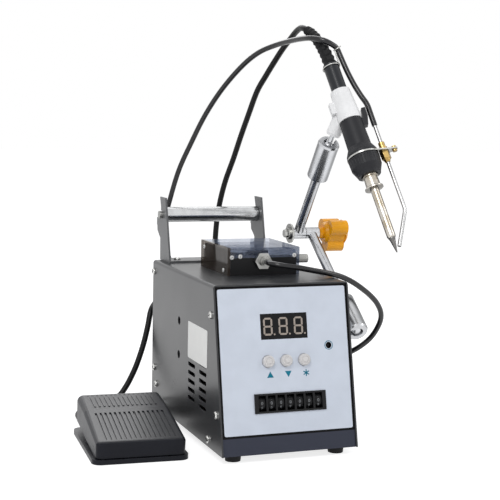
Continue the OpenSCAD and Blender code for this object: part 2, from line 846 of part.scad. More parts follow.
module thumbwheel(i) {
    color("#26272b") station() on_front(bank_x + (i - (wheel_count + 1) / 2) * wheel_pitch, bank_v)
        up(wheel_axis()) rotate([0, 90, 0]) difference() {
            cylinder(r = wheel_r, h = wheel_w, center = true);
            cylinder(r = wheel_shaft_r + run_gap, h = wheel_w + cut, center = true);
            for (k = [0:wheel_teeth - 1]) rotate([0, 0, (k + 0.5) * 360 / wheel_teeth])
                translate([wheel_r + tooth_r / 2, 0, -wheel_w / 2 - cut])
                    cylinder(r = tooth_r, h = wheel_w / 4 + cut, $fn = 16);
        }
}

module thumbwheel_1() { thumbwheel(1); }
module thumbwheel_2() { thumbwheel(2); }
module thumbwheel_3() { thumbwheel(3); }
module thumbwheel_4() { thumbwheel(4); }
module thumbwheel_5() { thumbwheel(5); }
module thumbwheel_6() { thumbwheel(6); }
module thumbwheel_7() { thumbwheel(7); }

// Rear panel pieces

function well_x() = inlet_w / 2 - well_w / 2 - 4 * well_wall;
function rocker_x() = -inlet_w / 2 + rocker_w / 2 + 4 * well_wall;

module on_rear(x, z) {
    translate([x, rear_y, foot_h + z]) rotate([90, 0, 180]) children();
}

module inlet_block() {
    back = well_depth + well_wall;
    color("#1a1a1c") station() on_rear(inlet_x, inlet_z) {
        difference() {
            union() {
                linear_extrude(2 * well_wall) round_plate(inlet_w, inlet_h, 2 * well_wall);
                up(-back) linear_extrude(back + well_wall)
                    square([inlet_w - 4 * well_wall, inlet_h - 3 * well_wall], center = true);
            }
            translate([well_x(), 0, -well_depth]) linear_extrude(well_depth + 4 * cut)
                square([well_w, well_h], center = true);
            translate([rocker_x(), 0, -rocker_t]) linear_extrude(rocker_t + 4 * cut)
                square([rocker_w + 4 * cover_gap, rocker_h + 4 * cover_gap], center = true);
        }
        for (p = [[-well_w / 4, -blade_w / 2], [0, blade_w / 2], [well_w / 4, -blade_w / 2]])
            translate([well_x() + p[0], p[1], -well_depth - well_wall / 2])
                linear_extrude(well_depth * 0.8) square([blade_t, blade_w], center = true);
        translate([rocker_x(), 0, -rocker_t / 2]) rotate([0, 90, 0])
            cylinder(r = rocker_pin_r, h = rocker_w + 6 * cover_gap, center = true);
        translate([(well_x() + rocker_x()) / 2 + rocker_w / 12, 0, 2 * well_wall])
            linear_extrude(well_wall / 2)
            round_plate(blade_w * 1.5, rocker_h, well_wall / 2);
    }
}

module power_rocker() {
    color("#2a2a2c") station() on_rear(inlet_x, inlet_z) translate([rocker_x(), 0, -rocker_t / 2])
        rotate([0, 90, 0]) rotate([0, 0, rocker_angle]) difference() {
            intersection() {
                translate([-rocker_t * 0.9, -rocker_h / 2 + cover_gap, -rocker_w / 2])
                    cube([rocker_t * 1.2, rocker_h - 2 * cover_gap, rocker_w]);
                cylinder(r = rocker_h / 2, h = rocker_w, center = true);
                union() {
                    for (a = [-rocker_angle, rocker_angle]) rotate([0, 0, a])
                        translate([-rocker_t * 0.75, a > 0 ? -rocker_h : 0, -rocker_w])
                            cube([rocker_t, rocker_h, 2 * rocker_w]);
                }
            }
            cylinder(r = rocker_pin_r + run_gap, h = rocker_w + cut, center = true);
        }
}

module gland() {
    difference() {
        union() {
            cylinder(d = gland_d, h = 2 * sheet);
            up(2 * sheet) cylinder(d1 = gland_d * 0.8, d2 = gland_d * 0.58, h = gland_out - 2 * sheet);
            up(-3 * sheet) cylinder(d = gland_d * 0.7, h = 3 * sheet);
        }
        up(gland_out - cut) cylinder(d = pedal_cord_d * 0.7, h = 2 * cut);
    }
}

module cord_glands() {
    color("#161616") station() {
        for (i = [0, 1]) on_rear(gland_x[i], gland_z[i]) gland();
        on_pedal() translate([coil_tail_u(), pedal_back() + cover_gap, pedal_cord_d / 2 + sheet])
            rotate([-90, 0, 0]) cylinder(d1 = gland_d * 0.6, d2 = pedal_cord_d * 1.2, h = gland_out);
    }
}

function pedal_back() = pedal_l;
function coil_tail_u() = -pedal_w / 2 + gland_d;

// Inside

module transformer() {
    coil_t = core_t * 1.75;
    color("#5a4636") station() translate([0, case_d - core_back, foot_h + sheet]) {
        difference() {
            up(core_h / 2) cube([core_w, core_t, core_h], center = true);
            for (x = [-1, 1]) translate([x * core_w / 4, 0, core_h / 2])
                cube([core_w / 8, core_t + cut, core_h * 0.6], center = true);
        }
        for (y = [-1, 1]) translate([0, y * (core_t + coil_t) / 4, core_h / 2])
            cube([core_w / 3, (coil_t - core_t) / 2, core_h * 0.56], center = true);
        for (x = [-1, 1]) translate([x * core_w / 2, 0, sheet / 2])
            cube([core_w / 4, core_t * 0.8, sheet], center = true);
    }
}

// Feeder

drive_off = drive_r + nip_gap / 2 + line_off;
drive_x = line_x - drive_r - nip_gap / 2;
press_x = line_x + press_r + nip_gap / 2;
line_z = top_z + line_h;
wheel_y = feeder_y + drive_y;
pivot = [press_x + pivot_side, wheel_y + pivot_back];
block_l = 15;

module feeder_base() {
    in_w = feeder_w - 2 * clear_t - 2 * cover_gap;
    color("#17191d") station() difference() {
        union() {
            translate([feeder_mid_x - in_w / 2, feeder_y, top_z]) cube([in_w, feeder_l, feeder_floor]);
            translate([feeder_mid_x - in_w / 2, feeder_y, top_z]) cube([in_w, block_l, block_h]);
            translate([feeder_mid_x - in_w / 2, feeder_y + feeder_l - block_l / 3, top_z])
                cube([in_w, block_l / 3, block_h]);
            translate([pivot[0], pivot[1], top_z]) cylinder(r = lever_w / 2, h = lever_seat());
            translate([pivot[0], pivot[1], top_z])
                cylinder(r = press_pin_r, h = lever_seat() + lever_t + cut);
        }
        translate([line_x, feeder_y + feeder_l / 2, line_z]) rotate([90, 0, 0])
            cylinder(d = needle_bore, h = feeder_l + 2 * cut, center = true);
        translate([line_x, feeder_y, line_z]) rotate([90, 0, 0])
            cylinder(d = outlet_d * 0.7, h = block_l, center = true);
        translate([drive_x, wheel_y, top_z])
            cylinder(r = shaft_r + button_gap, h = 4 * feeder_floor, center = true);
        translate([feeder_mid_x + tension_l - shaft_r, feeder_y + tension_y, line_z]) rotate([0, 90, 0])
            cylinder(r = shaft_r + run_gap, h = feeder_w);
    }
}

module feeder_cover() {
    color([0.75, 0.8, 0.9, 0.45]) station() difference() {
        translate([feeder_mid_x - feeder_w / 2, feeder_y, top_z]) cube([feeder_w, feeder_l, feeder_h]);
        translate([feeder_mid_x - feeder_w / 2 + clear_t, feeder_y + clear_t, top_z - cut])
            cube([feeder_w - 2 * clear_t, feeder_l - 2 * clear_t, feeder_h - clear_t + cut]);
        translate([feeder_mid_x - feeder_w / 2 + clear_t, feeder_y - cut, top_z - cut])
            cube([feeder_w - 2 * clear_t, feeder_l + 2 * cut, block_h + cover_gap + cut]);
        translate([feeder_mid_x + tension_l - shaft_r, feeder_y + tension_y, line_z]) rotate([0, 90, 0])
            cylinder(r = shaft_r + run_gap, h = feeder_w);
    }
}

module feed_motor() {
    color("silver") station() translate([drive_x, wheel_y, top_z - sheet]) {
        up(-motor_l) difference() {
            cylinder(d = motor_d, h = motor_l);
            up(motor_l * 0.8) cylinder(r = shaft_r + run_gap, h = motor_l);
        }
        up(-motor_l - sheet) cylinder(d = motor_d * 0.6, h = 2 * sheet);
    }
}

module drive_wheel() {
    color("#9a9a9a") station() translate([drive_x, wheel_y, 0]) {
        up(line_z - drive_h / 2) difference() {
            cylinder(r = drive_r, h = drive_h);
            for (k = [0:23]) rotate([0, 0, k * 15]) translate([drive_r + 0.6 * knurl_r, 0, drive_h * 0.3])
                cylinder(r = knurl_r, h = drive_h * 0.4, $fn = 14);
        }
        up(top_z - motor_l * 0.18) cylinder(r = shaft_r, h = line_h - drive_h / 2 + motor_l * 0.18);
    }
}

function lever_seat() = line_h - press_r * 0.55 - lever_t - 2 * cover_gap;

module pressure_lever() {
    low = top_z + lever_seat() + cover_gap / 2;
    tail = [press_x + pivot_side + lever_w, feeder_y + block_l + lever_w / 2 + 2 * cover_gap];
    color("#8c8f94") station() {
        difference() {
            up(low) linear_extrude(lever_t) {
                translate(pivot) circle(lever_w / 2);
                translate([press_x, wheel_y]) circle(lever_w / 2);
                translate(tail) circle(lever_w / 2);
                bar(pivot, [press_x, wheel_y], lever_w * 0.85);
                bar([press_x, wheel_y], tail, lever_w * 0.85);
            }
            translate([pivot[0], pivot[1], low - cut])
                cylinder(r = press_pin_r + run_gap, h = lever_t + 2 * cut);
        }
        translate([press_x, wheel_y, low]) cylinder(r = press_pin_r, h = line_z + press_r / 2 - low + cut);
    }
}

// A straight bar between two points of a plane
module bar(a, b, w) {
    translate((a + b) / 2) rotate(atan2(b[1] - a[1], b[0] - a[0])) square([norm(b - a), w], center = true);
}

module pressure_roller() {
    color("#3a3a3c") station() translate([press_x, wheel_y, line_z - press_r / 2]) difference() {
        cylinder(r = press_r, h = press_r);
        up(-cut) cylinder(r = press_pin_r + run_gap, h = press_r + 2 * cut);
        up(press_r / 2) rotate_extrude() translate([press_r + nip_gap, 0]) circle(2 * nip_gap, $fn = 24);
    }
}

module tension_knob() {
    x0 = feeder_mid_x + feeder_w / 2 + cover_gap;
    color("silver") station() translate([x0, feeder_y + tension_y, line_z]) rotate([0, 90, 0]) {
        difference() {
            cylinder(d = tension_d, h = tension_l);
            for (k = [0:23]) rotate([0, 0, k * 15])
                translate([tension_d / 2 + knurl_r / 2, 0, tension_l * 0.15])
                cylinder(r = 0.8 * knurl_r, h = tension_l, $fn = 14);
        }
        up(-feeder_w / 2 + tension_l) cylinder(r = shaft_r, h = feeder_w / 2 - tension_l);
    }
}

module outlet_fitting() {
    color("#b9b3a4") station() translate([line_x, feeder_y, line_z]) rotate([90, 0, 0]) difference() {
        union() {
            hex(outlet_af, outlet_d / 2);
            cylinder(d = outlet_d, h = outlet_d * 0.95);
            up(outlet_d * 0.95) cylinder(d = outlet_d * 0.8, h = outlet_d / 2);
            up(-block_l / 3) cylinder(d = outlet_d * 0.7 - 2 * run_gap, h = block_l / 3);
        }
        up(-block_l) cylinder(d = needle_bore, h = 2 * block_l);
    }
}

// Spool bracket and roller

bracket_x0 = -case_w / 2 + bracket_inset;
bracket_x1 = bracket_x0 + bracket_w;

// Outline of an ear: y along the case and z above its top
module ear_outline() {
    y = roller_y;
    z = roller_z;
    r = axle_d / 2 + slot_gap;
    difference() {
        union() {
            polygon([[y - bracket_l, 0], [y - 2.6 * r, ear_h], [y + 2.1 * r, ear_h],
                     [y + 1.1 * r, z + 2 * r], [y + 1.1 * r, z - 2 * r], [y + 4.4 * r, z - 2.4 * r],
                     [y + 4.1 * r, z - 4.4 * r], [y + 1.5 * r, z - 6.2 * r], [y + 1.4 * r, 0]]);
            translate([y - r, z - 3 * r]) square([5.6 * r, 2 * r]);
        }
        translate([y, z]) circle(r);
        translate([y, z - r]) square([8 * r, 2 * r]);
    }
}

module spool_bracket() {
    color("#85888d") station() {
        for (x = [bracket_x0, bracket_x1 - ear_t]) translate([x, 0, top_z]) rotate([90, 0, 90])
            linear_extrude(ear_t) ear_outline();
        difference() {
            translate([bracket_x0, roller_y - bracket_l, top_z]) cube([bracket_w, bracket_l, ear_t]);
            bracket_spots() cylinder(r = screw_r + run_gap, h = 4 * sheet, center = true);
        }
    }
}

module spool_axle() {
    color("#d8d8d4") station() translate([(bracket_x0 + bracket_x1) / 2, roller_y, top_z + roller_z])
        rotate([0, 90, 0]) {
            cylinder(d = axle_d, h = bracket_w + 2 * ear_t, center = true);
            for (s = [-1, 1]) up(s * (bracket_w / 2 + 1.3 * ear_t))
                cylinder(d = axle_d + 2 * slot_gap, h = ear_t, center = true);
        }
}

module spool_roller() {
    roller_l = bracket_w - 2 * ear_t - 4 * slot_gap;
    color("#c9ccd0") station() translate([(bracket_x0 + bracket_x1) / 2, roller_y, top_z + roller_z])
        rotate([0, 90, 0]) difference() {
            cylinder(d = roller_d, h = roller_l, center = true);
            cylinder(r = axle_d / 2 + run_gap, h = roller_l + cut, center = true);
            for (s = [-1, 1]) up(s * roller_l / 2)
                cylinder(d = roller_d * 0.8, h = 2 * ear_t, center = true);
        }
}

// Arm

module arm_mount() {
    color("silver") station() translate([case_w / 2, ball_y, base_ball[2]]) rotate([0, 90, 0]) difference() {
        union() {
            linear_extrude(mount_t) round_plate(mount_h, mount_w, mount_w / 5);
            for (s = [-1, 1]) translate([s * mount_h * 0.36, 0, mount_t])
                cylinder(r = screw_head_r * 0.9, h = mount_t * 0.6);
        }
        up(-cut) cylinder(r = stud_r + run_gap, h = mount_t + 2 * cut);
    }
}

module base_stud() {
    color("silver") station() translate(base_ball) {
        sphere(d = ball_d);
        rotate([0, -90, 0]) {
            cylinder(r = stud_r, h = stud_reach + 3 * sheet);
            up(stud_reach + sheet + cover_gap) hex(3.2 * stud_r, 3 * sheet);
        }
    }
}

// A ball socket with its ball's middle at the origin and its tube along z
module ball_socket(slot_side) {
    bore_r = ball_d / 2 + ball_clear;
    end = -ball_sink - lip_t / 2;
    difference() {
        union() {
            up(end) cylinder(d1 = socket_d * 0.9, d2 = socket_d, h = lip_t);
            up(end + lip_t) cylinder(d = socket_d, h = socket_l - 2.5 * lip_t);
            up(end + socket_l - 1.5 * lip_t) cylinder(d1 = socket_d, d2 = tube_d * 1.3, h = 1.5 * lip_t);
        }
        sphere(r = bore_r);
        cylinder(r = bore_r, h = ball_d);
        up(end - cut) cylinder(r = mouth_r, h = ball_sink + cut);
        rotate([0, 0, slot_side]) {
            rotate([0, 90, 0]) cylinder(d = slot_w, h = socket_d);
            translate([0, -slot_w / 2, -socket_d]) cube([socket_d, slot_w, socket_d]);
        }
    }
}

// Half of the elbow: a sleeve across x and a tube that runs down to the socket
module arm_half(len, slot_side) {
    tube_from = -ball_sink - lip_t / 2 + socket_l - 2 * lip_t;
    ball_socket(slot_side);
    difference() {
        union() {
            up(tube_from) cylinder(d = tube_d, h = len - tube_from);
            up(len) rotate([0, 90, 0]) cylinder(d = sleeve_d, h = sleeve_l, center = true);
        }
        up(len) rotate([0, 90, 0]) cylinder(r = bolt_d / 2 + run_gap, h = sleeve_l + cut, center = true);
        up(tube_from - cut)
            cylinder(d = tube_d - 2 * tube_wall, h = len - sleeve_d / 2 - tube_from - 2 * tube_wall);
    }
}

module lower_arm() {
    color("#c4c8cc") station() translate(base_ball) rotate([lower_lift - 90, 0, 0]) arm_half(lower_len, 180);
}

module upper_arm() {
    color("#c4c8cc") station() translate(upper_ball) rotate([upper_lift + 90, 0, 0])
        arm_half(upper_len, upper_slot());
}

// Side of the upper socket that the clamp's stud leans to
function upper_slot() = atan2(stud_dir * [0, cos(upper_lift + 90), sin(upper_lift + 90)], stud_dir[0]);

module elbow_bolt() {
    x0 = upper_x - sleeve_l / 2 - sleeve_gap;
    color("silver") station() translate([x0, elbow[1], elbow[2]]) rotate([0, 90, 0]) {
        cylinder(d = bolt_d, h = knob_end_x - x0 - knob_l / 2);
        up(-bolt_head_t) cylinder(r = bolt_head_r, h = bolt_head_t);
        up(-bolt_head_t * 2.2) cylinder(r = bolt_head_r * 0.62, h = bolt_head_t * 1.2);
        up(-bolt_head_t * 4) hex(bolt_d * 1.2, bolt_head_t * 2);
    }
}

module knob_outline() {
    circle(knob_d * 0.3);
    for (a = [0:120:240]) rotate(a) {
        translate([knob_d * 0.3, 0]) circle(knob_d * 0.2);
        translate([knob_d * 0.15, 0]) square([knob_d * 0.3, knob_d * 0.4], center = true);
    }
}

module elbow_knob() {
    x0 = base_ball[0] + sleeve_l / 2 + sleeve_gap;
    color("#f59a12") station() translate([x0, elbow[1], elbow[2]]) rotate([0, 90, 0]) difference() {
        union() {
            cylinder(d = sleeve_d, h = knob_neck);
            up(knob_neck) cylinder(r1 = knob_d * 0.24, r2 = knob_d * 0.3, h = knob_l * 0.15);
            up(knob_neck + knob_l * 0.12) linear_extrude(knob_l * 0.76) knob_outline();
            up(knob_neck + knob_l * 0.88) cylinder(r1 = knob_d * 0.34, r2 = knob_d * 0.26, h = knob_l * 0.12);
        }
        up(-cut) cylinder(r = bolt_d / 2 + run_gap, h = knob_l * 0.6 + knob_neck + cut);
    }
}

// Head: clamp and iron

module clamp_stud() {
    color("silver") station() {
        translate(upper_ball) sphere(d = ball_d);
        along(upper_ball, stud_dir) cylinder(r = stud_r * 0.8, h = foot_start() + foot_r);
    }
}

function foot_start() = norm([ball_sink + lip_t / 2, socket_d * 0.45]) + 2 * sleeve_gap;

module iron_clamp() {
    color("white") station() difference() {
        union() {
            on_iron(clamp_t0) cylinder(d1 = clamp_top_d, d2 = grip_d + 2 * clamp_gap + sheet, h = clamp_l);
            along(upper_ball, stud_dir) {
                up(foot_start()) cylinder(r1 = foot_r * 0.85, r2 = foot_r, h = foot_r / 3);
                up(foot_start() + foot_r / 3)
                    cylinder(r = foot_r, h = stud_len - foot_start() - foot_r / 3 - tail_d / 4);
            }
            on_iron(0) rotate([0, 0, 180]) translate([clamp_top_d / 2 - edge, -foot_r / 2, -foot_r * 0.8])
                cube([foot_r * 0.9, foot_r, foot_r * 1.6]);
        }
        on_iron(clamp_t0 - cut) cylinder(d = tail_d + 2 * clamp_gap, h = clamp_l + 2 * cut);
        along(upper_ball, stud_dir) up(foot_start() - cut)
            cylinder(r = stud_r * 0.8 + run_gap, h = foot_r + 2 * cut);
        on_iron(0) rotate([0, 0, 180]) translate([0, -sheet / 2, clamp_t0 - cut])
            cube([clamp_top_d, sheet, clamp_l + 2 * cut]);
    }
}

module handle_tail() {
    color("#20242c") station() on_iron(tail_t0) difference() {
        cylinder(d = tail_d, h = clamp_t1 - tail_t0);
        up(-cut) cylinder(d = iron_cord_d, h = clamp_t1 - tail_t0 + 2 * cut);
    }
}

module handle_grip() {
    t0 = clamp_t1 + clamp_gap;
    color("#2b2d33") station() {
        on_iron(0) rotate_extrude() polygon([
            [iron_cord_d / 2, t0], [grip_d / 2, t0], [grip_d / 2 + 0.6 * edge, grip_t1 - flare_l - edge],
            [nut_d / 2 - 0.8 * edge, grip_t1 - flare_l * 0.55], [nut_d / 2, grip_t1 - flare_l * 0.3],
            [nut_d / 2, grip_t1], [iron_cord_d / 2, grip_t1]]);
        on_iron(0) rotate([90, 0, 0]) linear_extrude(foot_r, center = true)
            polygon([[grip_d / 2 - edge, t0 + 0.6 * edge], [guide_s - 7.1 * edge, t0 + 0.6 * edge],
                     [guide_s - 6.2 * edge, t0 - 8 * edge],
                     [guide_s - needle_d, t0 - 8 * edge], [guide_s - needle_d, t0 - edge],
                     [guide_s - 5 * edge, t0 + 7 * edge], [grip_d / 2 - edge, t0 + 7 * edge]]);
    }
}

module grip_nut() {
    color("#1f2024") station() on_iron(0) difference() {
        rotate_extrude() polygon([
            [iron_cord_d / 2, nut_t0], [nut_d / 2 - 0.4 * edge, nut_t0], [nut_d / 2, nut_t0 + edge],
            [nut_d / 2 - 0.3 * edge, nut_t0 + nut_l * 0.55], [nut_d * 0.39, nut_t1 - nut_l * 0.1],
            [nut_d * 0.37, nut_t1], [ring_d / 2 + clamp_gap, nut_t1],
            [ring_d / 2 + clamp_gap, nut_t1 - 3 * edge], [iron_cord_d / 2, nut_t1 - 3 * edge]]);
        for (k = [0:nut_ribs - 1]) rotate([0, 0, k * 360 / nut_ribs])
            translate([nut_d / 2 + knurl_r / 2, 0, nut_t0 + 2 * edge])
                cylinder(r = 1.17 * knurl_r, h = nut_l * 0.5, $fn = 14);
    }
}

module iron_barrel() {
    t0 = nut_t1 - 3 * edge + clamp_gap;
    n1 = nut_t1 + ring_l;
    color("#cfcfcb") station() on_iron(0) rotate_extrude() polygon([
        [barrel_d / 2 - 0.8 * edge, t0], [ring_d / 2, t0], [ring_d / 2, nut_t1 + 1.6 * edge],
        [ring_d / 2 - edge, nut_t1 + 2 * edge], [ring_d / 2 - 0.6 * edge, n1 - 2.4 * edge],
        [ring_d / 2 + 0.9 * edge, n1 - 1.4 * edge], [ring_d / 2 + 0.9 * edge, n1 - 0.4 * edge],
        [barrel_d / 2, n1], [barrel_d / 2, barrel_t1 - 1.4 * edge],
        [barrel_d / 2 - 0.5 * edge, barrel_t1], [barrel_d / 2 - 0.8 * edge, barrel_t1]]);
}

module iron_tip() {
    color("#6b6762") station() on_iron(0) rotate_extrude() polygon([
        [0, nut_t1 + 2 * edge], [barrel_d / 2 - edge, nut_t1 + 2 * edge],
        [barrel_d / 2 - edge, barrel_t1 + edge], [barrel_d / 2 - 1.3 * edge, barrel_t1 + 2 * edge],
        [edge / 2, barrel_t1 + tip_l - 0.6 * edge], [0, barrel_t1 + tip_l]]);
}

module strain_relief() {
    steps = 20;
    color("#1c1c1e") station() swept(
        [for (i = [0:steps]) route_at(relief_points, i * (len(relief_points) - 1) / steps)],
        [for (i = [0:steps]) (1 - 0.32 * i / steps) * (tail_d / 2 - (i % 2 == 0 ? 0.6 : 1.5) * edge)], 12);
}

function route_at(p, u) = let (i = min(floor(u), len(p) - 2)) p[i] + (u - i) * (p[i + 1] - p[i]);

// Solder guide

module clip_ring(r) {
    rotate_extrude() translate([r, 0]) circle(d = clip_d, $fn = 16);
}

module wire_clip() {
    r = tail_d / 2 + clip_d / 2 + clamp_gap;
    low = tail_t0 + 2 * sheet;
    eye_r = feed_d / 2 + eye_gap + clip_d / 2;
    base = [r, 0, low];
    rod = eye_at + eye_r * unit(base - eye_at - ((base - eye_at) * eye_dir) * eye_dir) - base;
    color("silver") station() on_iron(0) {
        up(low) clip_ring(r);
        along(base, rod) cylinder(d = clip_d, h = norm(rod), $fn = 16);
        along(eye_at, eye_dir) clip_ring(eye_r);
    }
}

module guide_plate() {
    end = guide_s + bolt_off;
    color("silver") station() on_iron(grip_t1) difference() {
        union() {
            cylinder(r = nut_d / 2 + plate_rim, h = plate_t);
            translate([end, 0, 0]) cylinder(r = plate_end_r, h = plate_t);
            linear_extrude(plate_t) polygon([[barrel_d / 2, nut_d / 2 - plate_t], [end, plate_end_r],
                                             [end, -plate_end_r], [barrel_d / 2, plate_t - nut_d / 2]]);
        }
        up(-cut) cylinder(d = iron_cord_d, h = plate_t + 2 * cut);
        translate([guide_s, 0, -cut]) cylinder(r = needle_d / 2 + bush_wall + run_gap, h = plate_t + 2 * cut);
    }
}

module guide_fitting() {
    color("#c9a24e") station() on_iron(0) {
        translate([guide_s, 0, 0]) difference() {
            union() {
                up(grip_t1 - fitting_up) cylinder(r = fitting_r * 0.75, h = fitting_up - fitting_head);
                up(grip_t1 - fitting_head) cylinder(r = fitting_r, h = fitting_head);
                up(grip_t1 - cut / 2) cylinder(r = needle_d / 2 + bush_wall, h = plate_t + cut);
                up(nut_t0) hex(2 * fitting_r, fitting_down * 0.7);
                up(nut_t0 + fitting_down * 0.7)
                    cylinder(r1 = fitting_r * 0.9, r2 = fitting_r * 0.6, h = fitting_down * 0.3);
            }
            up(grip_t1 - fitting_up - cut)
                cylinder(r = needle_d / 2 + run_gap, h = fitting_up + fitting_down + plate_t + 4 * cut);
        }
        translate([guide_s + bolt_off, 0, nut_t0]) cylinder(r = small_head_r, h = small_head_h);
        translate([guide_s + bolt_off, 0, grip_t1 - small_head_h])
            cylinder(r = small_head_r, h = small_head_h);
    }
}

module guide_needle() {
    t0 = clamp_t1 + 9 * edge;
    color("#d0d0d0") station() on_iron(0) translate([guide_s, 0, 0]) {
        up(t0) pipe(needle_bend_t - t0);
        translate([-needle_bend_r, 0, needle_bend_t]) rotate([90, 0, 0]) rotate_extrude(angle = needle_bend)
            translate([needle_bend_r, 0]) difference() {
                circle(d = needle_d, $fn = 24);
                circle(d = needle_bore, $fn = 24);
            }
        up(needle_bend_t) translate([cos(needle_bend) - 1, 0, sin(needle_bend)] * needle_bend_r)
            rotate([0, -needle_bend, 0]) pipe(needle_end_l);
    }
}

module pipe(l) {
    difference() {
        cylinder(d = needle_d, h = l, $fn = 24);
        up(-cut) cylinder(d = needle_bore, h = l + 2 * cut, $fn = 24);
    }
}

// Foot pedal

module pedal_base() {
    wall = treadle_t;
    in_w = pedal_w - 4 * treadle_in - 4 * wall;
    color("#1b1c1f") station() on_pedal() {
        translate([0, pedal_l / 2, 0]) linear_extrude(pedal_base_t) round_plate(pedal_w, pedal_l, pedal_r);
        difference() {
            translate([0, pedal_l / 2, 0]) linear_extrude(pedal_base_t + treadle_r)
                round_plate(in_w, pedal_l - 4 * treadle_in - 2 * wall, pedal_r / 2);
            translate([0, pedal_l / 2, pedal_base_t]) linear_extrude(pedal_h)
                round_plate(in_w - 2 * wall, pedal_l - 4 * treadle_in - 4 * wall, pedal_r / 3);
        }
        for (s = [-1, 1]) translate([s * (in_w / 2 - wall), pivot_v, 0])
            translate([-wall / 2, -2 * pedal_pin_r, 0])
                cube([wall, 4 * pedal_pin_r, pivot_h + 2 * pedal_pin_r]);
        translate([0, pivot_v, pivot_h]) rotate([0, 90, 0])
            cylinder(r = pedal_pin_r, h = pedal_w - 2 * treadle_in + cover_gap, center = true);
        translate([0, spring_v, pedal_base_t]) cylinder(r = spring_r - edge, h = spring_r);
    }
}

kink_v = pedal_l * kink_share;
kink_h = pedal_front_h + (pedal_h - pedal_front_h) * 0.74;
// Height of the treadle's underside at a distance from the front
function treadle_under(v) = -treadle_t * 1.1 + (v < kink_v
    ? pedal_front_h + (kink_h - pedal_front_h) * (v - treadle_in) / (kink_v - treadle_in)
    : kink_h + (pedal_h - kink_h) * (v - kink_v) / (pedal_l - 3 * treadle_in - kink_v));

// Outside of the treadle, made smaller by the given wall
module treadle_body(wall) {
    w = pedal_w / 2 - treadle_in - wall;
    v0 = treadle_in / 2 + wall;
    v1 = pedal_l - treadle_in / 2 - wall;
    r = treadle_r;
    small = 0.6 * r;
    mid = 0.8 * r;
    low = pedal_base_t + treadle_lift;
    hull() for (s = [-1, 1]) {
        translate([s * (w - r), v0 + r, low - wall * 2]) cylinder(r = r, h = cut, $fn = 24);
        translate([s * (w - r), v1 - r, low - wall * 2]) cylinder(r = r, h = cut, $fn = 24);
        translate([s * (w - small), v0 + small, pedal_front_h - small - wall]) sphere(small, $fn = 16);
        translate([s * (w - mid), kink_v, kink_h - mid - wall]) sphere(mid, $fn = 16);
        translate([s * (w - r), v1 - r, pedal_h - r - wall]) sphere(r, $fn = 20);
    }
}

module pedal_treadle() {
    low = pedal_base_t + treadle_lift;
    front_a = atan2(kink_h - pedal_front_h, kink_v - treadle_in);
    back_a = atan2(pedal_h - kink_h, pedal_l - kink_v - treadle_in);
    color("#26282c") station() on_pedal() difference() {
        treadle_body(0);
        intersection() {
            treadle_body(treadle_t);
            translate([-pedal_w, 0, 0]) cube([2 * pedal_w, pedal_l, pedal_h]);
        }
        translate([-pedal_w, -cut, -low]) cube([2 * pedal_w, pedal_l + 2 * cut, 2 * low]);
        translate([-pedal_w, pivot_v, -low]) rotate([treadle_angle * 1.3, 0, 0])
            cube([2 * pedal_w, pedal_l, 2 * low]);
        translate([0, pivot_v, pivot_h]) rotate([0, 90, 0])
            cylinder(r = pedal_pin_r + run_gap, h = pedal_w + 2 * cut, center = true);
        for (i = [0:groove_count - 1]) {
            x = (i - (groove_count - 1) / 2) * groove_pitch;
            translate([x - groove_w / 2, treadle_in + 3 * edge, pedal_front_h + 0.3 * edge - groove_d])
                rotate([front_a, 0, 0])
                cube([groove_w, (kink_v - treadle_in) * 0.84, 4 * groove_d]);
            translate([x - groove_w / 2, kink_v + 9 * edge, kink_h + 1.8 * edge - groove_d])
                rotate([back_a, 0, 0])
                cube([groove_w, (pedal_l - kink_v) * 0.56, 4 * groove_d]);
        }
    }
}

module pedal_spring() {
    turns = 5;
    per = 12;
    wire = spring_wire;
    r = spring_r;
    base = pedal_base_t + treadle_lift;
    rise = treadle_under(spring_v) - base - press_gap;
    color("silver") station() on_pedal() translate([0, spring_v, base]) swept(
        [for (i = [0:turns * per]) let (a = 360 * i / per)
            [r * cos(a), r * sin(a), wire + i * (rise - 2 * wire) / (turns * per)]], wire, 6);
}

module pedal_switch() {
    top = treadle_under(switch_v) - (switch_v - pivot_v) * tan(treadle_angle) - 2 * press_gap;
    color("#3b3f46") station() on_pedal() translate([switch_u, switch_v, pedal_base_t]) {
        up(switch_h / 2) cube([switch_w, 2 * switch_w, switch_h], center = true);
        cylinder(r = plunger_r, h = top - pedal_base_t);
    }
}

// Cords

module feed_tube() {
    color("#15161a") station() swept(feed_points, feed_d / 2);
}

module iron_cord() {
    color("#1a1a1c") station() swept(iron_points, iron_cord_d / 2);
}

module pedal_cord() {
    color("#1a1a1c") station() swept(pedal_points, pedal_cord_d / 2);
}

// The coil runs clockwise: in on the lower layer, up, and out again on the upper one
function coil_turns() = coil_in_turns + 0.5 + coil_out_turns;
function coil_radius(u) = let (inner = coil_out_r - coil_pitch * coil_in_turns)
    u < coil_in_turns ? coil_out_r - coil_pitch * u :
    u < coil_in_turns + 0.5 ? inner - coil_pitch * 0.2 * sin(360 * (u - coil_in_turns)) :
    inner + coil_pitch * (u - coil_in_turns - 0.5);
function coil_height(u) = pedal_cord_d / 2 + coil_pitch * max(0, min(1, 2 * (u - coil_in_turns)));
function coil_point(u) = let (a = 180 - 360 * u)
    [coil_at[0] + coil_radius(u) * cos(a), coil_at[1] + coil_radius(u) * sin(a), coil_height(u)];
coil_points = concat(
    [for (q = coil_lead) [coil_at[0], coil_at[1], 0] + q],
    [for (i = [0:coil_turns() * coil_steps]) coil_point(i / coil_steps)],
    [[coil_at[0], coil_at[1], 0] + coil_end]);
coil_gaps = [for (i = [0:len(coil_points) - 1], j = [i + coil_steps / 2:len(coil_points) - 1])
    norm(coil_points[i] - coil_points[j]) - pedal_cord_d];
echo("least gap between the turns of the coil", min(coil_gaps));

module pedal_cord_coil() {
    color("#1a1a1c") station() swept(coil_points, pedal_cord_d / 2, 6);
}

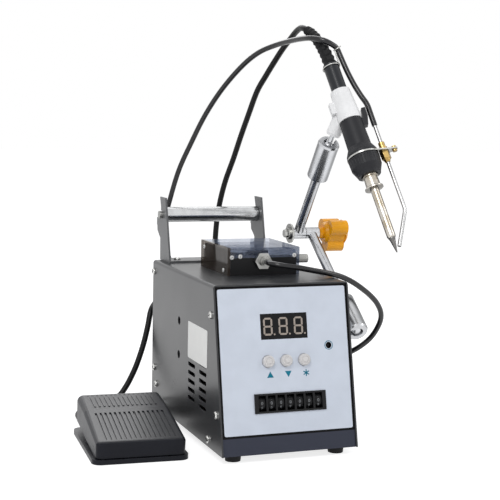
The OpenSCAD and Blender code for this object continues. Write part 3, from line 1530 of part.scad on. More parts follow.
case_cover();
chassis();
front_overlay();
case_screws();
case_feet();
display_module();
control_board();
wheel_frame();
button_up();
button_down();
button_set();
thumbwheel_1();
thumbwheel_2();
thumbwheel_3();
thumbwheel_4();
thumbwheel_5();
thumbwheel_6();
thumbwheel_7();
inlet_block();
power_rocker();
cord_glands();
transformer();
feeder_base();
feeder_cover();
feed_motor();
drive_wheel();
pressure_lever();
pressure_roller();
tension_knob();
outlet_fitting();
spool_bracket();
spool_axle();
spool_roller();
arm_mount();
base_stud();
lower_arm();
upper_arm();
elbow_bolt();
elbow_knob();
clamp_stud();
iron_clamp();
handle_tail();
handle_grip();
grip_nut();
iron_barrel();
iron_tip();
strain_relief();
wire_clip();
guide_plate();
guide_fitting();
guide_needle();
pedal_base();
pedal_treadle();
pedal_spring();
pedal_switch();
feed_tube();
iron_cord();
pedal_cord();
pedal_cord_coil();
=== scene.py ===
"""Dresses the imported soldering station: finishes, cords, markings, camera and studio.

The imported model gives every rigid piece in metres. The classes below lay the cords along the
routes that the part was drawn with, add the small details that the solids leave out, and give
each piece a procedural finish. Places are written in millimetres from the middle of the case's
front top edge, with z up from the bench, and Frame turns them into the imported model's metres.
"""

import logging
import math
from collections.abc import Sequence
from dataclasses import dataclass
from enum import Enum
from typing import ClassVar

import bmesh
import bpy
from mathutils import Matrix, Vector

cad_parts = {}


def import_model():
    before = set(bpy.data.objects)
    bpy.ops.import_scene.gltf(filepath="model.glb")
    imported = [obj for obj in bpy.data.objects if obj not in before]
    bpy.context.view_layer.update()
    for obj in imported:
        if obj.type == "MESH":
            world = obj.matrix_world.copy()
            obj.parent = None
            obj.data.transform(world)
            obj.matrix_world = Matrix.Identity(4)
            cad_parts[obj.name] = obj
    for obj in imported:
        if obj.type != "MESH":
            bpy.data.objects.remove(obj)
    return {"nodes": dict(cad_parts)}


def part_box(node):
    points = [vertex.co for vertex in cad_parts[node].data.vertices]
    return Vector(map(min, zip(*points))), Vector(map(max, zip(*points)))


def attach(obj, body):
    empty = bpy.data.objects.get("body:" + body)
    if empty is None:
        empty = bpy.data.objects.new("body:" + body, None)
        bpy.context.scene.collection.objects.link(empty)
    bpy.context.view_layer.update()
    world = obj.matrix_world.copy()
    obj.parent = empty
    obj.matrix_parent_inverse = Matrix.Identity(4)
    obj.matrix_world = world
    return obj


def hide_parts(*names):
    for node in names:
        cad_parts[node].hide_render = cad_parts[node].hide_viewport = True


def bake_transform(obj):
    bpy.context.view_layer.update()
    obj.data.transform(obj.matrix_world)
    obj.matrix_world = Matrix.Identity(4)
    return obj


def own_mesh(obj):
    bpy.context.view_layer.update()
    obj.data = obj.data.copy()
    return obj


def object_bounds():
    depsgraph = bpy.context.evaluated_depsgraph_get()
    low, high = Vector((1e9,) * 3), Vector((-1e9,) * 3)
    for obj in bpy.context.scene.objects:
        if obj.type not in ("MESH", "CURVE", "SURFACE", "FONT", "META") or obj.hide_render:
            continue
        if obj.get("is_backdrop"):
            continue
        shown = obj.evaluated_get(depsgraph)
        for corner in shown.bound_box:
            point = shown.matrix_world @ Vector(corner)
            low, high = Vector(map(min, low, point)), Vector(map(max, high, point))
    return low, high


LOG = logging.getLogger("station")
MM = 0.001
LOOK = "look_"  # Starts the name of every finish's material
Colour = tuple[float, float, float]
Point = tuple[float, float, float]
Pair = tuple[float, float]
Ring = Sequence[bmesh.types.BMVert]


class Frame:
    """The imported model, with the case's own millimetres turned into its metres."""

    CASE_DEPTH = 158.0
    TOP = 130.0
    FACE_ANGLE = math.atan2(27.5, 124.0)

    def __init__(self) -> None:
        """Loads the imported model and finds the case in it."""
        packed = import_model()
        self.nodes: dict[str, bpy.types.Object] = packed["nodes"]
        self.cad_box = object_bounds()
        low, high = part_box("case_cover")
        self.origin = Vector(((low[0] + high[0]) / 2, high[1] - self.CASE_DEPTH * MM, 0.0))

    def at(self, point: Sequence[float]) -> Vector:
        """Turns a place in the case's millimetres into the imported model's metres."""
        return self.origin + Vector(point) * MM

    def on_front(self, x: float, v: float, n: float = 0.0) -> Vector:
        """Gives the place x to the right, v down the slanted front and n out of it."""
        s, c = math.sin(self.FACE_ANGLE), math.cos(self.FACE_ANGLE)
        return self.at((x, -v * s - n * c, self.TOP - v * c + n * s))

    def front_matrix(self, x: float, v: float, n: float = 0.0) -> Matrix:
        """Gives the placing of a flat drawing on the slanted front, x across and y up the slope."""
        turn = Matrix.Rotation(math.pi / 2 - self.FACE_ANGLE, 4, "X")
        return Matrix.Translation(self.on_front(x, v, n)) @ turn


# Shader expressions


class Sock:
    """A node's output, or a number, that takes part in Python sums."""

    def __init__(self, graph: "Graph", value: bpy.types.NodeSocket | float) -> None:
        """Keeps the graph that new nodes go into."""
        self.graph = graph
        self.value = value

    def _sum(self, operation: str, *others: "Sock | float") -> "Sock":
        """Adds one Math node and gives its result."""
        inputs = {i: v for i, v in enumerate((self, *others))}
        return self.graph.node("ShaderNodeMath", {"operation": operation}, inputs).out(0)

    def __add__(self, other: "Sock | float") -> "Sock":
        """self + other."""
        return self._sum("ADD", other)

    __radd__ = __add__

    def __sub__(self, other: "Sock | float") -> "Sock":
        """self - other."""
        return self._sum("SUBTRACT", other)

    def __rsub__(self, other: float) -> "Sock":
        """other - self."""
        return Sock(self.graph, other)._sum("SUBTRACT", self)

    def __mul__(self, other: "Sock | float") -> "Sock":
        """self * other."""
        return self._sum("MULTIPLY", other)

    __rmul__ = __mul__

    def __gt__(self, other: float) -> "Sock":
        """1 where self is greater."""
        return self._sum("GREATER_THAN", other)

    def ramp(self, low: float, high: float) -> "Sock":
        """Rises smoothly from 0 to 1.

        Args:
            low: Where it is 0.
            high: Where it reaches 1.

        Returns:
            The eased value.
        """
        settings = {"interpolation_type": "SMOOTHSTEP"}
        inputs = {"Value": self, "From Min": low, "From Max": high}
        return self.graph.node("ShaderNodeMapRange", settings, inputs).out("Result")


class Made:
    """A node that was just made, asked for its outputs by name."""

    def __init__(self, graph: "Graph", node: bpy.types.Node) -> None:
        """Keeps the node."""
        self.graph = graph
        self.node = node

    def out(self, name: str | int) -> Sock:
        """Gives an output as a value for sums."""
        return Sock(self.graph, self.node.outputs[name])


class Graph:
    """The node tree of one material, or of the world."""

    def __init__(self, name: str, world: bool = False) -> None:
        """Starts an empty tree.

        Args:
            name: The finish's name.
            world: Whether it is the world's tree.
        """
        self.owner = (bpy.data.worlds if world else bpy.data.materials).new(LOOK + name)
        self.owner.use_nodes = True
        self.tree = self.owner.node_tree
        self.tree.nodes.clear()
        self.end = self.tree.nodes.new("ShaderNodeOutput" + ("World" if world else "Material"))

    def node(self, kind: str, settings: dict | None = None, inputs: dict | None = None) -> Made:
        """Adds a node.

        Args:
            kind: The node's type.
            settings: Its settings, set before its sockets.
            inputs: Values or links, by socket name or number.

        Returns:
            The node, ready to be asked for outputs.
        """
        node = self.tree.nodes.new(kind)
        for key, value in (settings or {}).items():
            setattr(node, key, value)
        for key, value in (inputs or {}).items():
            value = value.value if isinstance(value, Sock) else value
            if isinstance(value, bpy.types.NodeSocket):
                self.tree.links.new(value, node.inputs[key])
            elif value is not None:
                node.inputs[key].default_value = value
        return Made(self, node)

    def place(self) -> Sock:
        """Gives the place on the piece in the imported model's metres."""
        return self.node("ShaderNodeTexCoord").out("Object")

    def axis(self, direction: Sequence[float], origin: Sequence[float] = (0, 0, 0)) -> Sock:
        """Measures along a direction from an origin, in metres."""
        return self.dot(self.place(), tuple(direction)) - Vector(direction).dot(Vector(origin))

    def dot(self, first: Sock, second: Sock | Point) -> Sock:
        """Gives the dot product of two vectors."""
        settings = {"operation": "DOT_PRODUCT"}
        return self.node("ShaderNodeVectorMath", settings, {0: first, 1: second}).out("Value")

    def facing_out(self) -> Sock:
        """Gives the normal of the bare face."""
        return self.node("ShaderNodeNewGeometry").out("Normal")

    def noise(self, size: float, detail: float = 3.0, stretch: Point = (1, 1, 1)) -> Sock:
        """Adds soft random grain.

        Args:
            size: The grain's size in millimetres.
            detail: How many finer layers it has.
            stretch: How much denser it is along each axis.

        Returns:
            A value from 0 to 1.
        """
        where = {"Vector": self.place(), "Scale": tuple(stretch)}
        mapping = self.node("ShaderNodeMapping", {"vector_type": "POINT"}, where)
        inputs = {"Vector": mapping.out("Vector"), "Scale": 1 / (size * MM), "Detail": detail}
        return self.node("ShaderNodeTexNoise", None, inputs).out("Fac")

    def blend(self, factor: Sock | float, first: Sock | Colour, second: Sock | Colour) -> Sock:
        """Mixes two colours.

        Args:
            factor: 0 gives the first, 1 the second.
            first: A colour or a colour output.
            second: A colour or a colour output.

        Returns:
            The mixed colour.
        """
        ends = [(*c, 1.0) if isinstance(c, tuple) else c for c in (first, second)]
        inputs = {0: factor, 6: ends[0], 7: ends[1]}
        return self.node("ShaderNodeMix", {"data_type": "RGBA"}, inputs).out(2)

    def rounded(self, radius: float) -> Sock:
        """Gives a normal that rounds the edges by a radius in millimetres."""
        return self.node("ShaderNodeBevel", {"samples": 4}, {"Radius": radius * MM}).out("Normal")

    def edges(self, radius: float) -> Sock:
        """Gives about 0 on flats, rising to 1 at an edge, within a radius in millimetres."""
        return (1.0 - self.dot(self.rounded(radius), self.facing_out())).ramp(0.004, 0.12)

    def upward(self) -> Sock:
        """Gives how far a face is turned up, 1 on a level top."""
        return self.dot(self.facing_out(), (0, 0, 1))

    def bump(self, height: Sock, depth: float, normal: Sock) -> Sock:
        """Adds a height pattern to a normal, with its depth in millimetres."""
        inputs = {"Height": height, "Distance": depth * MM, "Strength": 1.0, "Normal": normal}
        return self.node("ShaderNodeBump", None, inputs).out("Normal")

    def surface(self, **sockets: Sock | float | Colour) -> Sock:
        """Adds the main surface shader.

        Args:
            sockets: Its sockets, with underscores for spaces.

        Returns:
            The shader.
        """
        inputs = {}
        for key, value in sockets.items():
            name = "Specular IOR Level" if key == "specular" else key.replace("_", " ").title()
            inputs[name] = (*value, 1.0) if isinstance(value, tuple) and len(value) == 3 else value
        return self.node("ShaderNodeBsdfPrincipled", None, inputs).out("BSDF")

    def seen(self) -> Sock:
        """Finds what the camera sees, itself, in gloss or through something clear.

        Returns:
            1 where it is seen, 0 elsewhere.
        """
        path = self.node("ShaderNodeLightPath")
        rays = (path.out(f"Is {kind} Ray") for kind in ("Camera", "Glossy", "Transmission"))
        return sum(rays, 0.0) > 0.5

    def close(self, shader: Sock) -> bpy.types.Material | bpy.types.World:
        """Connects the shader to the output and gives the finished material or world."""
        self.tree.links.new(shader.value, self.end.inputs["Surface"])
        return self.owner


# Finishes


@dataclass(frozen=True)
class PowderCoat:
    """Baked paint on sheet metal, with a fine orange-peel texture and slightly worn edges."""

    name: str
    colour: Colour
    worn: Colour = (0.2, 0.2, 0.21)
    roughness: float = 0.42
    grain: float = 0.9
    depth: float = 0.02
    edge: float = 0.35
    edge_radius: float = 0.35
    specular: float = 0.5
    shade: float = 0.86
    below: tuple[float, Colour] | None = None

    def build(self) -> bpy.types.Material:
        """Makes the material.

        Returns:
            The finished material.
        """
        g = Graph(self.name)
        wear = g.edges(self.edge_radius) * g.noise(6.0, 4.0).ramp(0.42, 0.68) * self.edge
        cloud = g.noise(38.0, 2.0)
        darker = tuple(c * self.shade for c in self.colour)
        base = g.blend(cloud, darker, self.colour)
        if self.below:
            low, paint = self.below
            base = g.blend(g.axis((0, 0, 1)).ramp(low * MM, (low + 0.2) * MM), paint, base)
        fine = g.noise(self.grain, 2.0)
        rough = cloud * 0.08 + fine * 0.06 + (self.roughness - 0.07)
        normal = g.bump(fine, self.depth, g.rounded(0.3))
        base = g.blend(wear, base, self.worn)
        sockets = {"roughness": rough, "normal": normal, "specular": self.specular}
        return g.close(g.surface(base_color=base, **sockets))


@dataclass(frozen=True)
class Metal:
    """Bare or plated metal with fine marks, and a painted reflection that darkens it where it turns
    away from the view.
    """

    name: str
    colour: Colour
    roughness: float = 0.25
    marks: float = 0.12
    stretch: Point = (1.0, 1.0, 1.0)
    size: float = 0.4
    depth: float = 0.006
    tarnish: Colour | None = None
    edge_radius: float = 0.25
    rim: float = 0.55
    rim_from: float = 0.3
    rim_shade: float = 0.16
    shade: float = 0.82

    def build(self) -> bpy.types.Material:
        """Makes the material.

        Returns:
            The finished material.
        """
        g = Graph(self.name)
        lines = g.noise(self.size, 3.0, self.stretch)
        cloud = g.noise(9.0, 3.0)
        dull = self.tarnish or tuple(c * self.shade for c in self.colour)
        base = g.blend(cloud.ramp(0.35, 0.75), self.colour, dull)
        # Painted reflection: the colour darkens where the surface turns away from the view.
        turned = g.node("ShaderNodeLayerWeight", None, {"Blend": 0.5}).out("Facing")
        rim = turned.ramp(self.rim_from, 0.62) * (1.0 - turned.ramp(0.7, 0.97) * 0.75) * self.rim
        base = g.blend(rim, base, tuple(c * self.rim_shade for c in self.colour))
        least = self.roughness - self.marks * 0.7
        rough = lines * self.marks + cloud * (self.marks * 0.6) + least
        normal = g.bump(lines, self.depth, g.rounded(self.edge_radius))
        return g.close(g.surface(base_color=base, roughness=rough, metallic=1.0, normal=normal))


@dataclass(frozen=True)
class Moulding:
    """Moulded plastic or rubber with a fine tool grain, and a sheen on what faces up."""

    name: str
    colour: Colour
    roughness: float = 0.45
    grain: float = 0.35
    depth: float = 0.012
    shade: float = 0.85
    rub: Colour | None = None
    radius: float = 0.3
    specular: float = 0.5
    sheen: float = 0.0

    def build(self) -> bpy.types.Material:
        """Makes the material.

        Returns:
            The finished material.
        """
        g = Graph(self.name)
        cloud = g.noise(14.0, 3.0)
        fine = g.noise(self.grain, 2.0)
        darker = tuple(c * self.shade for c in self.colour)
        base = g.blend(cloud.ramp(0.3, 0.7), darker, self.colour)
        if self.rub:
            base = g.blend(g.edges(0.4) * g.noise(4.0, 3.0).ramp(0.35, 0.7) * 0.5, base, self.rub)
        rough = fine * 0.1 + cloud * 0.08 + (self.roughness - 0.09)
        normal = g.bump(fine, self.depth, g.rounded(self.radius))
        sockets = {"specular": self.specular, "coat_roughness": self.roughness}
        if self.sheen:
            sockets["coat_weight"] = g.upward().ramp(0.35, 0.95) * self.sheen
        return g.close(g.surface(base_color=base, roughness=rough, normal=normal, **sockets))


@dataclass(frozen=True)
class Acrylic:
    """Clear sheet acrylic, with a painted brown reflection on its left wall."""

    name: str
    tint: Colour
    smoke: Colour
    smoke_from: float
    film: Colour = (0.16, 0.19, 0.27)
    dark_film: Colour = (0.05, 0.036, 0.026)
    smoke_reach: float = 0.6

    def build(self) -> bpy.types.Material:
        """Makes the material.

        Returns:
            The finished material.
        """
        g = Graph(self.name)
        # Painted reflection: the left wall gets a brown see-through tint, a brown gloss colour and
        # a stronger gloss.
        painted_side_to = self.smoke_from + self.smoke_reach * MM
        side = 1.0 - g.axis((1, 0, 0)).ramp(self.smoke_from, painted_side_to)
        tint = g.blend(side, self.tint, self.smoke)
        clear = g.node("ShaderNodeBsdfTransparent", None, {"Color": tint}).out("BSDF")
        streaks = g.noise(7.0, 4.0, (1, 1, 0.3)).ramp(0.35, 0.75)
        gloss = g.surface(
            base_color=g.blend(side, self.film, self.dark_film),
            roughness=streaks * 0.1 + 0.03,
            normal=g.rounded(0.4),
        )
        facing = g.node("ShaderNodeLayerWeight", None, {"Blend": 0.25}).out("Fresnel")
        factor = facing * 0.6 + g.edges(0.5) * 0.35 + streaks * 0.12 + side * 0.3 + 0.12
        mixed = g.node("ShaderNodeMixShader", None, {0: factor, 1: clear, 2: gloss})
        return g.close(mixed.out("Shader"))


@dataclass(frozen=True)
class DisplayFace:
    """A dark window with unlit digits that stand just proud of it."""

    name: str
    out_of_face: Point
    face_at: Point
    dark: Colour = (0.004, 0.004, 0.005)
    digit: Colour = (0.36, 0.31, 0.27)
    rise: Pair = (0.03, 0.08)

    def build(self) -> bpy.types.Material:
        """Makes the material.

        Returns:
            The finished material.
        """
        g = Graph(self.name)
        low, high = self.rise
        lit = g.axis(self.out_of_face, self.face_at).ramp(low * MM, high * MM)
        cloud = g.noise(5.0, 2.0)
        base = g.blend(lit, self.dark, self.digit)
        rough = lit * 0.35 + cloud * 0.08 + 0.1
        normal = g.rounded(0.15)
        return g.close(g.surface(base_color=base, roughness=rough, normal=normal, specular=0.2))


class Finish(Enum):
    """Every finish that the station's pieces are given."""

    BLACK_SHEET = PowderCoat("black_sheet", (0.028, 0.029, 0.032), edge=0.5, roughness=0.3)
    SLATE_SHEET = PowderCoat(
        "slate_sheet", (0.003, 0.003, 0.004), edge=0.15, specular=0.12,
        below=(18.6, (0.043, 0.047, 0.066)),
    )
    GREY_SHEET = PowderCoat(
        "grey_sheet", (0.11, 0.112, 0.117), worn=(0.5, 0.5, 0.5), roughness=0.38, edge=0.8,
    )
    OVERLAY = Moulding(
        "overlay_film", (0.62, 0.67, 0.76), roughness=0.36, grain=0.25, depth=0.004, shade=0.95,
    )
    STEEL = Metal("turned_steel", (0.56, 0.56, 0.54), roughness=0.28)
    SCREWS = Metal("screw_steel", (0.74, 0.74, 0.72), roughness=0.22, edge_radius=0.4, rim=0.4)
    CHROME = Metal(
        "satin_chrome", (0.62, 0.63, 0.65), roughness=0.24, marks=0.08, depth=0.002,
        edge_radius=0.5, rim=0.8,
    )
    ROLLER = Metal(
        "roller_chrome", (0.66, 0.67, 0.68), roughness=0.2, marks=0.06, stretch=(6, 1, 1),
        depth=0.002, rim=0.85,
    )
    BARREL = Metal(
        "heated_barrel", (0.6, 0.57, 0.52), roughness=0.24, marks=0.05,
        tarnish=(0.4, 0.34, 0.25), depth=0.001, rim=0.85, edge_radius=0.1,
    )
    TIP = Metal(
        "plated_tip", (0.16, 0.155, 0.15), roughness=0.34, tarnish=(0.05, 0.046, 0.042),
        size=0.8, depth=0.01,
    )
    BRASS = Metal("brass", (0.62, 0.43, 0.16), roughness=0.26, tarnish=(0.42, 0.28, 0.1), rim=0.7)
    NEEDLE = Metal(
        "drawn_needle", (0.52, 0.52, 0.52), roughness=0.26, marks=0.04, size=0.5, depth=0.001,
        rim=0.85, rim_from=0.16, edge_radius=0.05,
    )
    RUBBER = Moulding("rubber", (0.006, 0.006, 0.007), roughness=0.6, grain=0.5, specular=0.25)
    BLACK = Moulding(
        "black_plastic", (0.005, 0.005, 0.006), roughness=0.36, rub=(0.05, 0.05, 0.055),
        specular=0.25,
    )
    WHEELS = Moulding(
        "wheel_plastic", (0.006, 0.006, 0.007), roughness=0.45, radius=0.15, specular=0.2,
    )
    HANDLE = Moulding(
        "handle_plastic", (0.006, 0.008, 0.012), roughness=0.3, grain=0.5, specular=0.4,
    )
    GRIP = Moulding("grip_rubber", (0.014, 0.0145, 0.018), roughness=0.5, depth=0.03, specular=0.3)
    CAPS = Moulding("button_caps", (0.66, 0.645, 0.64), roughness=0.3, shade=0.93)
    CLAMP = Moulding("clamp_nylon", (0.9, 0.9, 0.905), roughness=0.3, shade=0.93, depth=0.006)
    KNOB = Moulding(
        "knob_orange", (1.0, 0.43, 0.002), roughness=0.3, shade=0.82, rub=(1.0, 0.55, 0.05),
        specular=0.35,
    )
    PEDAL = Moulding(
        "pedal_plastic", (0.011, 0.012, 0.017), roughness=0.36, grain=0.6, depth=0.03,
        rub=(0.06, 0.06, 0.07), specular=0.14, sheen=0.5,
    )
    JACKET = Moulding(
        "cord_jacket", (0.004, 0.004, 0.0045), roughness=0.4, grain=0.8, depth=0.006, specular=0.25,
    )
    FEED = Moulding("feed_tube_jacket", (0.008, 0.008, 0.01), roughness=0.2, grain=1.2, depth=0.003)
    BOARD = Moulding("board_lacquer", (0.02, 0.09, 0.04), roughness=0.35)
    PLATES = Moulding("varnished_plates", (0.1, 0.07, 0.05), roughness=0.5)
    STICKER = Moulding(
        "blank_sticker", (0.86, 0.86, 0.84), roughness=0.42, grain=0.3, depth=0.003, shade=0.96,
    )
    TEAL = Moulding("printed_teal", (0.004, 0.18, 0.27), roughness=0.4, depth=0.002, specular=0.25)
    PRINT = Moulding("printed_grey", (0.24, 0.25, 0.26), roughness=0.5, depth=0.002)
    # Painted shade in the screws' drives and slots; also the unlit lamp's dark colour.
    DARK = Moulding("dark_lamp_and_painted_recess_shade", (0.004, 0.004, 0.005), roughness=0.7, specular=0.2)
    NYLON = Moulding("nylon_screws", (0.84, 0.84, 0.83), roughness=0.3)
    TIE = Moulding(
        "cord_tie", (0.008, 0.008, 0.009), roughness=0.75, grain=0.9, depth=0.06, specular=0.2,
    )

    def material(self) -> bpy.types.Material:
        """Gives the finish's material, made the first time that it is asked for."""
        return bpy.data.materials.get(LOOK + self.value.name) or self.value.build()


def coat(obj: bpy.types.Object, finish: Finish | bpy.types.Material) -> None:
    """Gives every face of an object one finish.

    Args:
        obj: The object.
        finish: A named finish or a material.
    """
    material = finish.material() if isinstance(finish, Finish) else finish
    obj.data.materials.clear()
    obj.data.materials.append(material)


def smooth(obj: bpy.types.Object, angle: float = 32.0) -> None:
    """Shades round faces smooth and keeps edges sharp from an angle in degrees on."""
    obj.data.shade_smooth()
    obj.data.set_sharp_from_angle(angle=math.radians(angle))


def add_object(name: str, data: bpy.types.ID) -> bpy.types.Object:
    """Adds an object to the scene.

    Args:
        name: The object's name.
        data: Its mesh, lamp, camera or curve.

    Returns:
        The object.
    """
    obj = bpy.data.objects.new(name, data)
    bpy.context.scene.collection.objects.link(obj)
    return obj


def box_outline(half_x: float, half_y: float) -> list[Pair]:
    """Gives the corners of a rectangle about the origin."""
    return [(-half_x, -half_y), (half_x, -half_y), (half_x, half_y), (-half_x, half_y)]


def ring_outline(
    radius: float, count: int = 32, start: float = 0.0, sweep: float = 360.0
) -> list[Pair]:
    """Gives a count of points round a circle, from a start on over a sweep in degrees."""
    angles = (math.radians(start + sweep * i / count) for i in range(count))
    return [(radius * math.cos(a), radius * math.sin(a)) for a in angles]


class Shape:
    """The mesh of a new piece, built up from forms that are drawn in millimetres."""

    SIDES = 40

    def __init__(self) -> None:
        """Starts with nothing."""
        self.mesh = bmesh.new()

    def ring(self, outline: Sequence[Pair], place: Matrix, z: float) -> Ring:
        """Adds the corners of an outline at a height above its plane."""
        return [self.mesh.verts.new(place @ (Vector((x, y, z)) * MM)) for x, y in outline]

    def stack(self, rings: Sequence[Ring], closed: bool = False) -> None:
        """Joins rings that have as many corners each.

        Args:
            rings: The rings in order.
            closed: Whether the last joins the first, or both ends get a flat face.
        """
        for low, high in zip(rings, [*rings[1:], rings[0]] if closed else rings[1:]):
            for i in range(len(low)):
                j = (i + 1) % len(low)
                self.mesh.faces.new((low[i], low[j], high[j], high[i]))
        if not closed:
            self.mesh.faces.new(list(reversed(rings[0])))
            self.mesh.faces.new(rings[-1])

    def plate(self, outline: Sequence[Pair], place: Matrix, top: float, low: float = 0.0) -> None:
        """Adds a flat piece between two heights above its plane."""
        self.stack([self.ring(outline, place, z) for z in (low, top)])

    def lathe(self, profile: Sequence[Pair], place: Matrix, hollow: bool = False) -> None:
        """Adds a turned piece from the radius and height of each ring, from the bottom up."""
        self.stack([self.ring(ring_outline(r, self.SIDES), place, z) for r, z in profile], hollow)

    def add(self, name: str, angle: float = 32.0) -> bpy.types.Object:
        """Turns the shape into an object, which uses the shape up.

        Args:
            name: The object's name.
            angle: The angle in degrees from which an edge stays sharp.

        Returns:
            The object.
        """
        data = bpy.data.meshes.new(name)
        bmesh.ops.recalc_face_normals(self.mesh, faces=self.mesh.faces)
        self.mesh.to_mesh(data)
        self.mesh.free()
        obj = add_object(name, data)
        smooth(obj, angle)
        return obj

    def piece(self, name: str, body: str, finish: Finish, slot: str) -> bpy.types.Object:
        """Turns the shape into a piece of the station.

        Args:
            name: The piece's name.
            body: The body that it rides on.
            finish: Its finish.
            slot: The record's material slot, which is not used.

        Returns:
            The piece.
        """
        obj = self.add(name)
        coat(obj, finish)
        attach(obj, body)
        LOG.info("%s rides on %s", name, body)
        return obj


def facing(at: Vector, out: Point) -> Matrix:
    """Gives the placing of an upright flat drawing whose z axis points out.

    Args:
        at: Its origin in metres.
        out: The direction that it faces.

    Returns:
        The placing.
    """
    z = Vector(out).normalized()
    x = Vector((0, 0, 1)).cross(z).normalized()
    turn = Matrix((x, z.cross(x), z)).transposed().to_4x4()
    return Matrix.Translation(at) @ turn


# Cords


def curve_through(route: Sequence[Vector], step: float) -> tuple[list[Vector], list[int]]:
    """Lays a smooth line through the points of a route.

    Args:
        route: The route's points in metres.
        step: The distance between the line's points, in metres.

    Returns:
        The line, and the place in it of each point of the route.
    """
    ends = [route[0] * 2 - route[1], *route, route[-1] * 2 - route[-2]]
    line: list[Vector] = []
    marks: list[int] = []
    for a, b, c, d in zip(ends, ends[1:], ends[2:], ends[3:]):
        marks.append(len(line))
        before, span, after = ((q - p).length ** 0.5 for p, q in ((a, b), (b, c), (c, d)))
        leave = (c - a) * (span / (before + span))
        arrive = (d - b) * (span / (span + after))
        count = max(2, round((c - b).length / step))
        for i in range(count):
            u = i / count
            line.append(
                b * (2 * u**3 - 3 * u**2 + 1)
                + leave * (u**3 - 2 * u**2 + u)
                + c * (3 * u**2 - 2 * u**3)
                + arrive * (u**3 - u**2)
            )
    marks.append(len(line))
    line.append(route[-1].copy())
    return line, marks


class Tube:
    """A round tube along a line, in lengths that share their end rings."""

    SHARP = 50.0
    FIRST_SIDE = (0.3, 0.2, 1.0)

    def __init__(self, line: Sequence[Vector], radius: float, sides: int = 16) -> None:
        """Works out the rings.

        Args:
            line: The points of the centreline in metres.
            radius: The tube's radius in metres.
            sides: Faces round the tube.
        """
        self.line = list(line)
        self.rings: list[list[Vector]] = []
        side = Vector(self.FIRST_SIDE)
        for i, point in enumerate(self.line):
            ahead = self.line[min(i + 1, len(self.line) - 1)] - self.line[max(i - 1, 0)]
            ahead.normalize()
            side = (side - ahead * side.dot(ahead)).normalized()
            across = ahead.cross(side)
            turn = (2 * math.pi * k / sides for k in range(sides))
            spokes = (side * math.cos(a) + across * math.sin(a) for a in turn)
            self.rings.append([point + spoke * radius for spoke in spokes])

    def length(self, first: int, last: int) -> float:
        """Measures the centreline between two of its points, in metres."""
        pairs = zip(self.line[first:last], self.line[first + 1 : last + 1])
        return sum((b - a).length for a, b in pairs)

    def mesh(self, name: str, first: int, last: int) -> bpy.types.Object:
        """Makes one length of the tube.

        Args:
            name: The piece's name.
            first: The first ring.
            last: The last ring.

        Returns:
            The piece, closed at both ends.
        """
        shape = Shape()
        rings = self.rings[first : last + 1]
        shape.stack([[shape.mesh.verts.new(p) for p in ring] for ring in rings])
        return shape.add(name, self.SHARP)


# The bodies that a cord passes on its way from the case to the iron
CHAIN = ("case", "base_stud", "lower_arm", "upper_arm", "clamp_stud", "head")


@dataclass
class Cord:
    """One cord, laid along the route of its solid and cut where it crosses the arm's joints."""

    name: str
    node: str
    diameter: float
    route: tuple[Point, ...]
    stiffness: str
    crossings: tuple[int, ...] = ()
    finish: Finish = Finish.JACKET
    step: float = 2.2

    def build(self, frame: Frame) -> None:
        """Lays the cord.

        Args:
            frame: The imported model.
        """
        line, marks = curve_through([frame.at(p) for p in self.route], self.step * MM)
        tube = Tube(line, self.diameter * MM / 2)
        cuts = [0, *(marks[i] for i in self.crossings), len(line) - 1]
        for k, (first, last) in enumerate(zip(cuts, cuts[1:])):
            piece = tube.mesh(f"{self.name}_{k + 1}", first, last)
            coat(piece, self.finish)
            tube.length(first, last)
            line[first : last + 1]
            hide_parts(self.node)
            if 0 < k < len(CHAIN):
                CHAIN[k - 1]
                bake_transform(piece)
            else:
                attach(piece, CHAIN[0 if k == 0 else -1])
        LOG.info("%s has %d lengths", self.name, len(cuts) - 1)


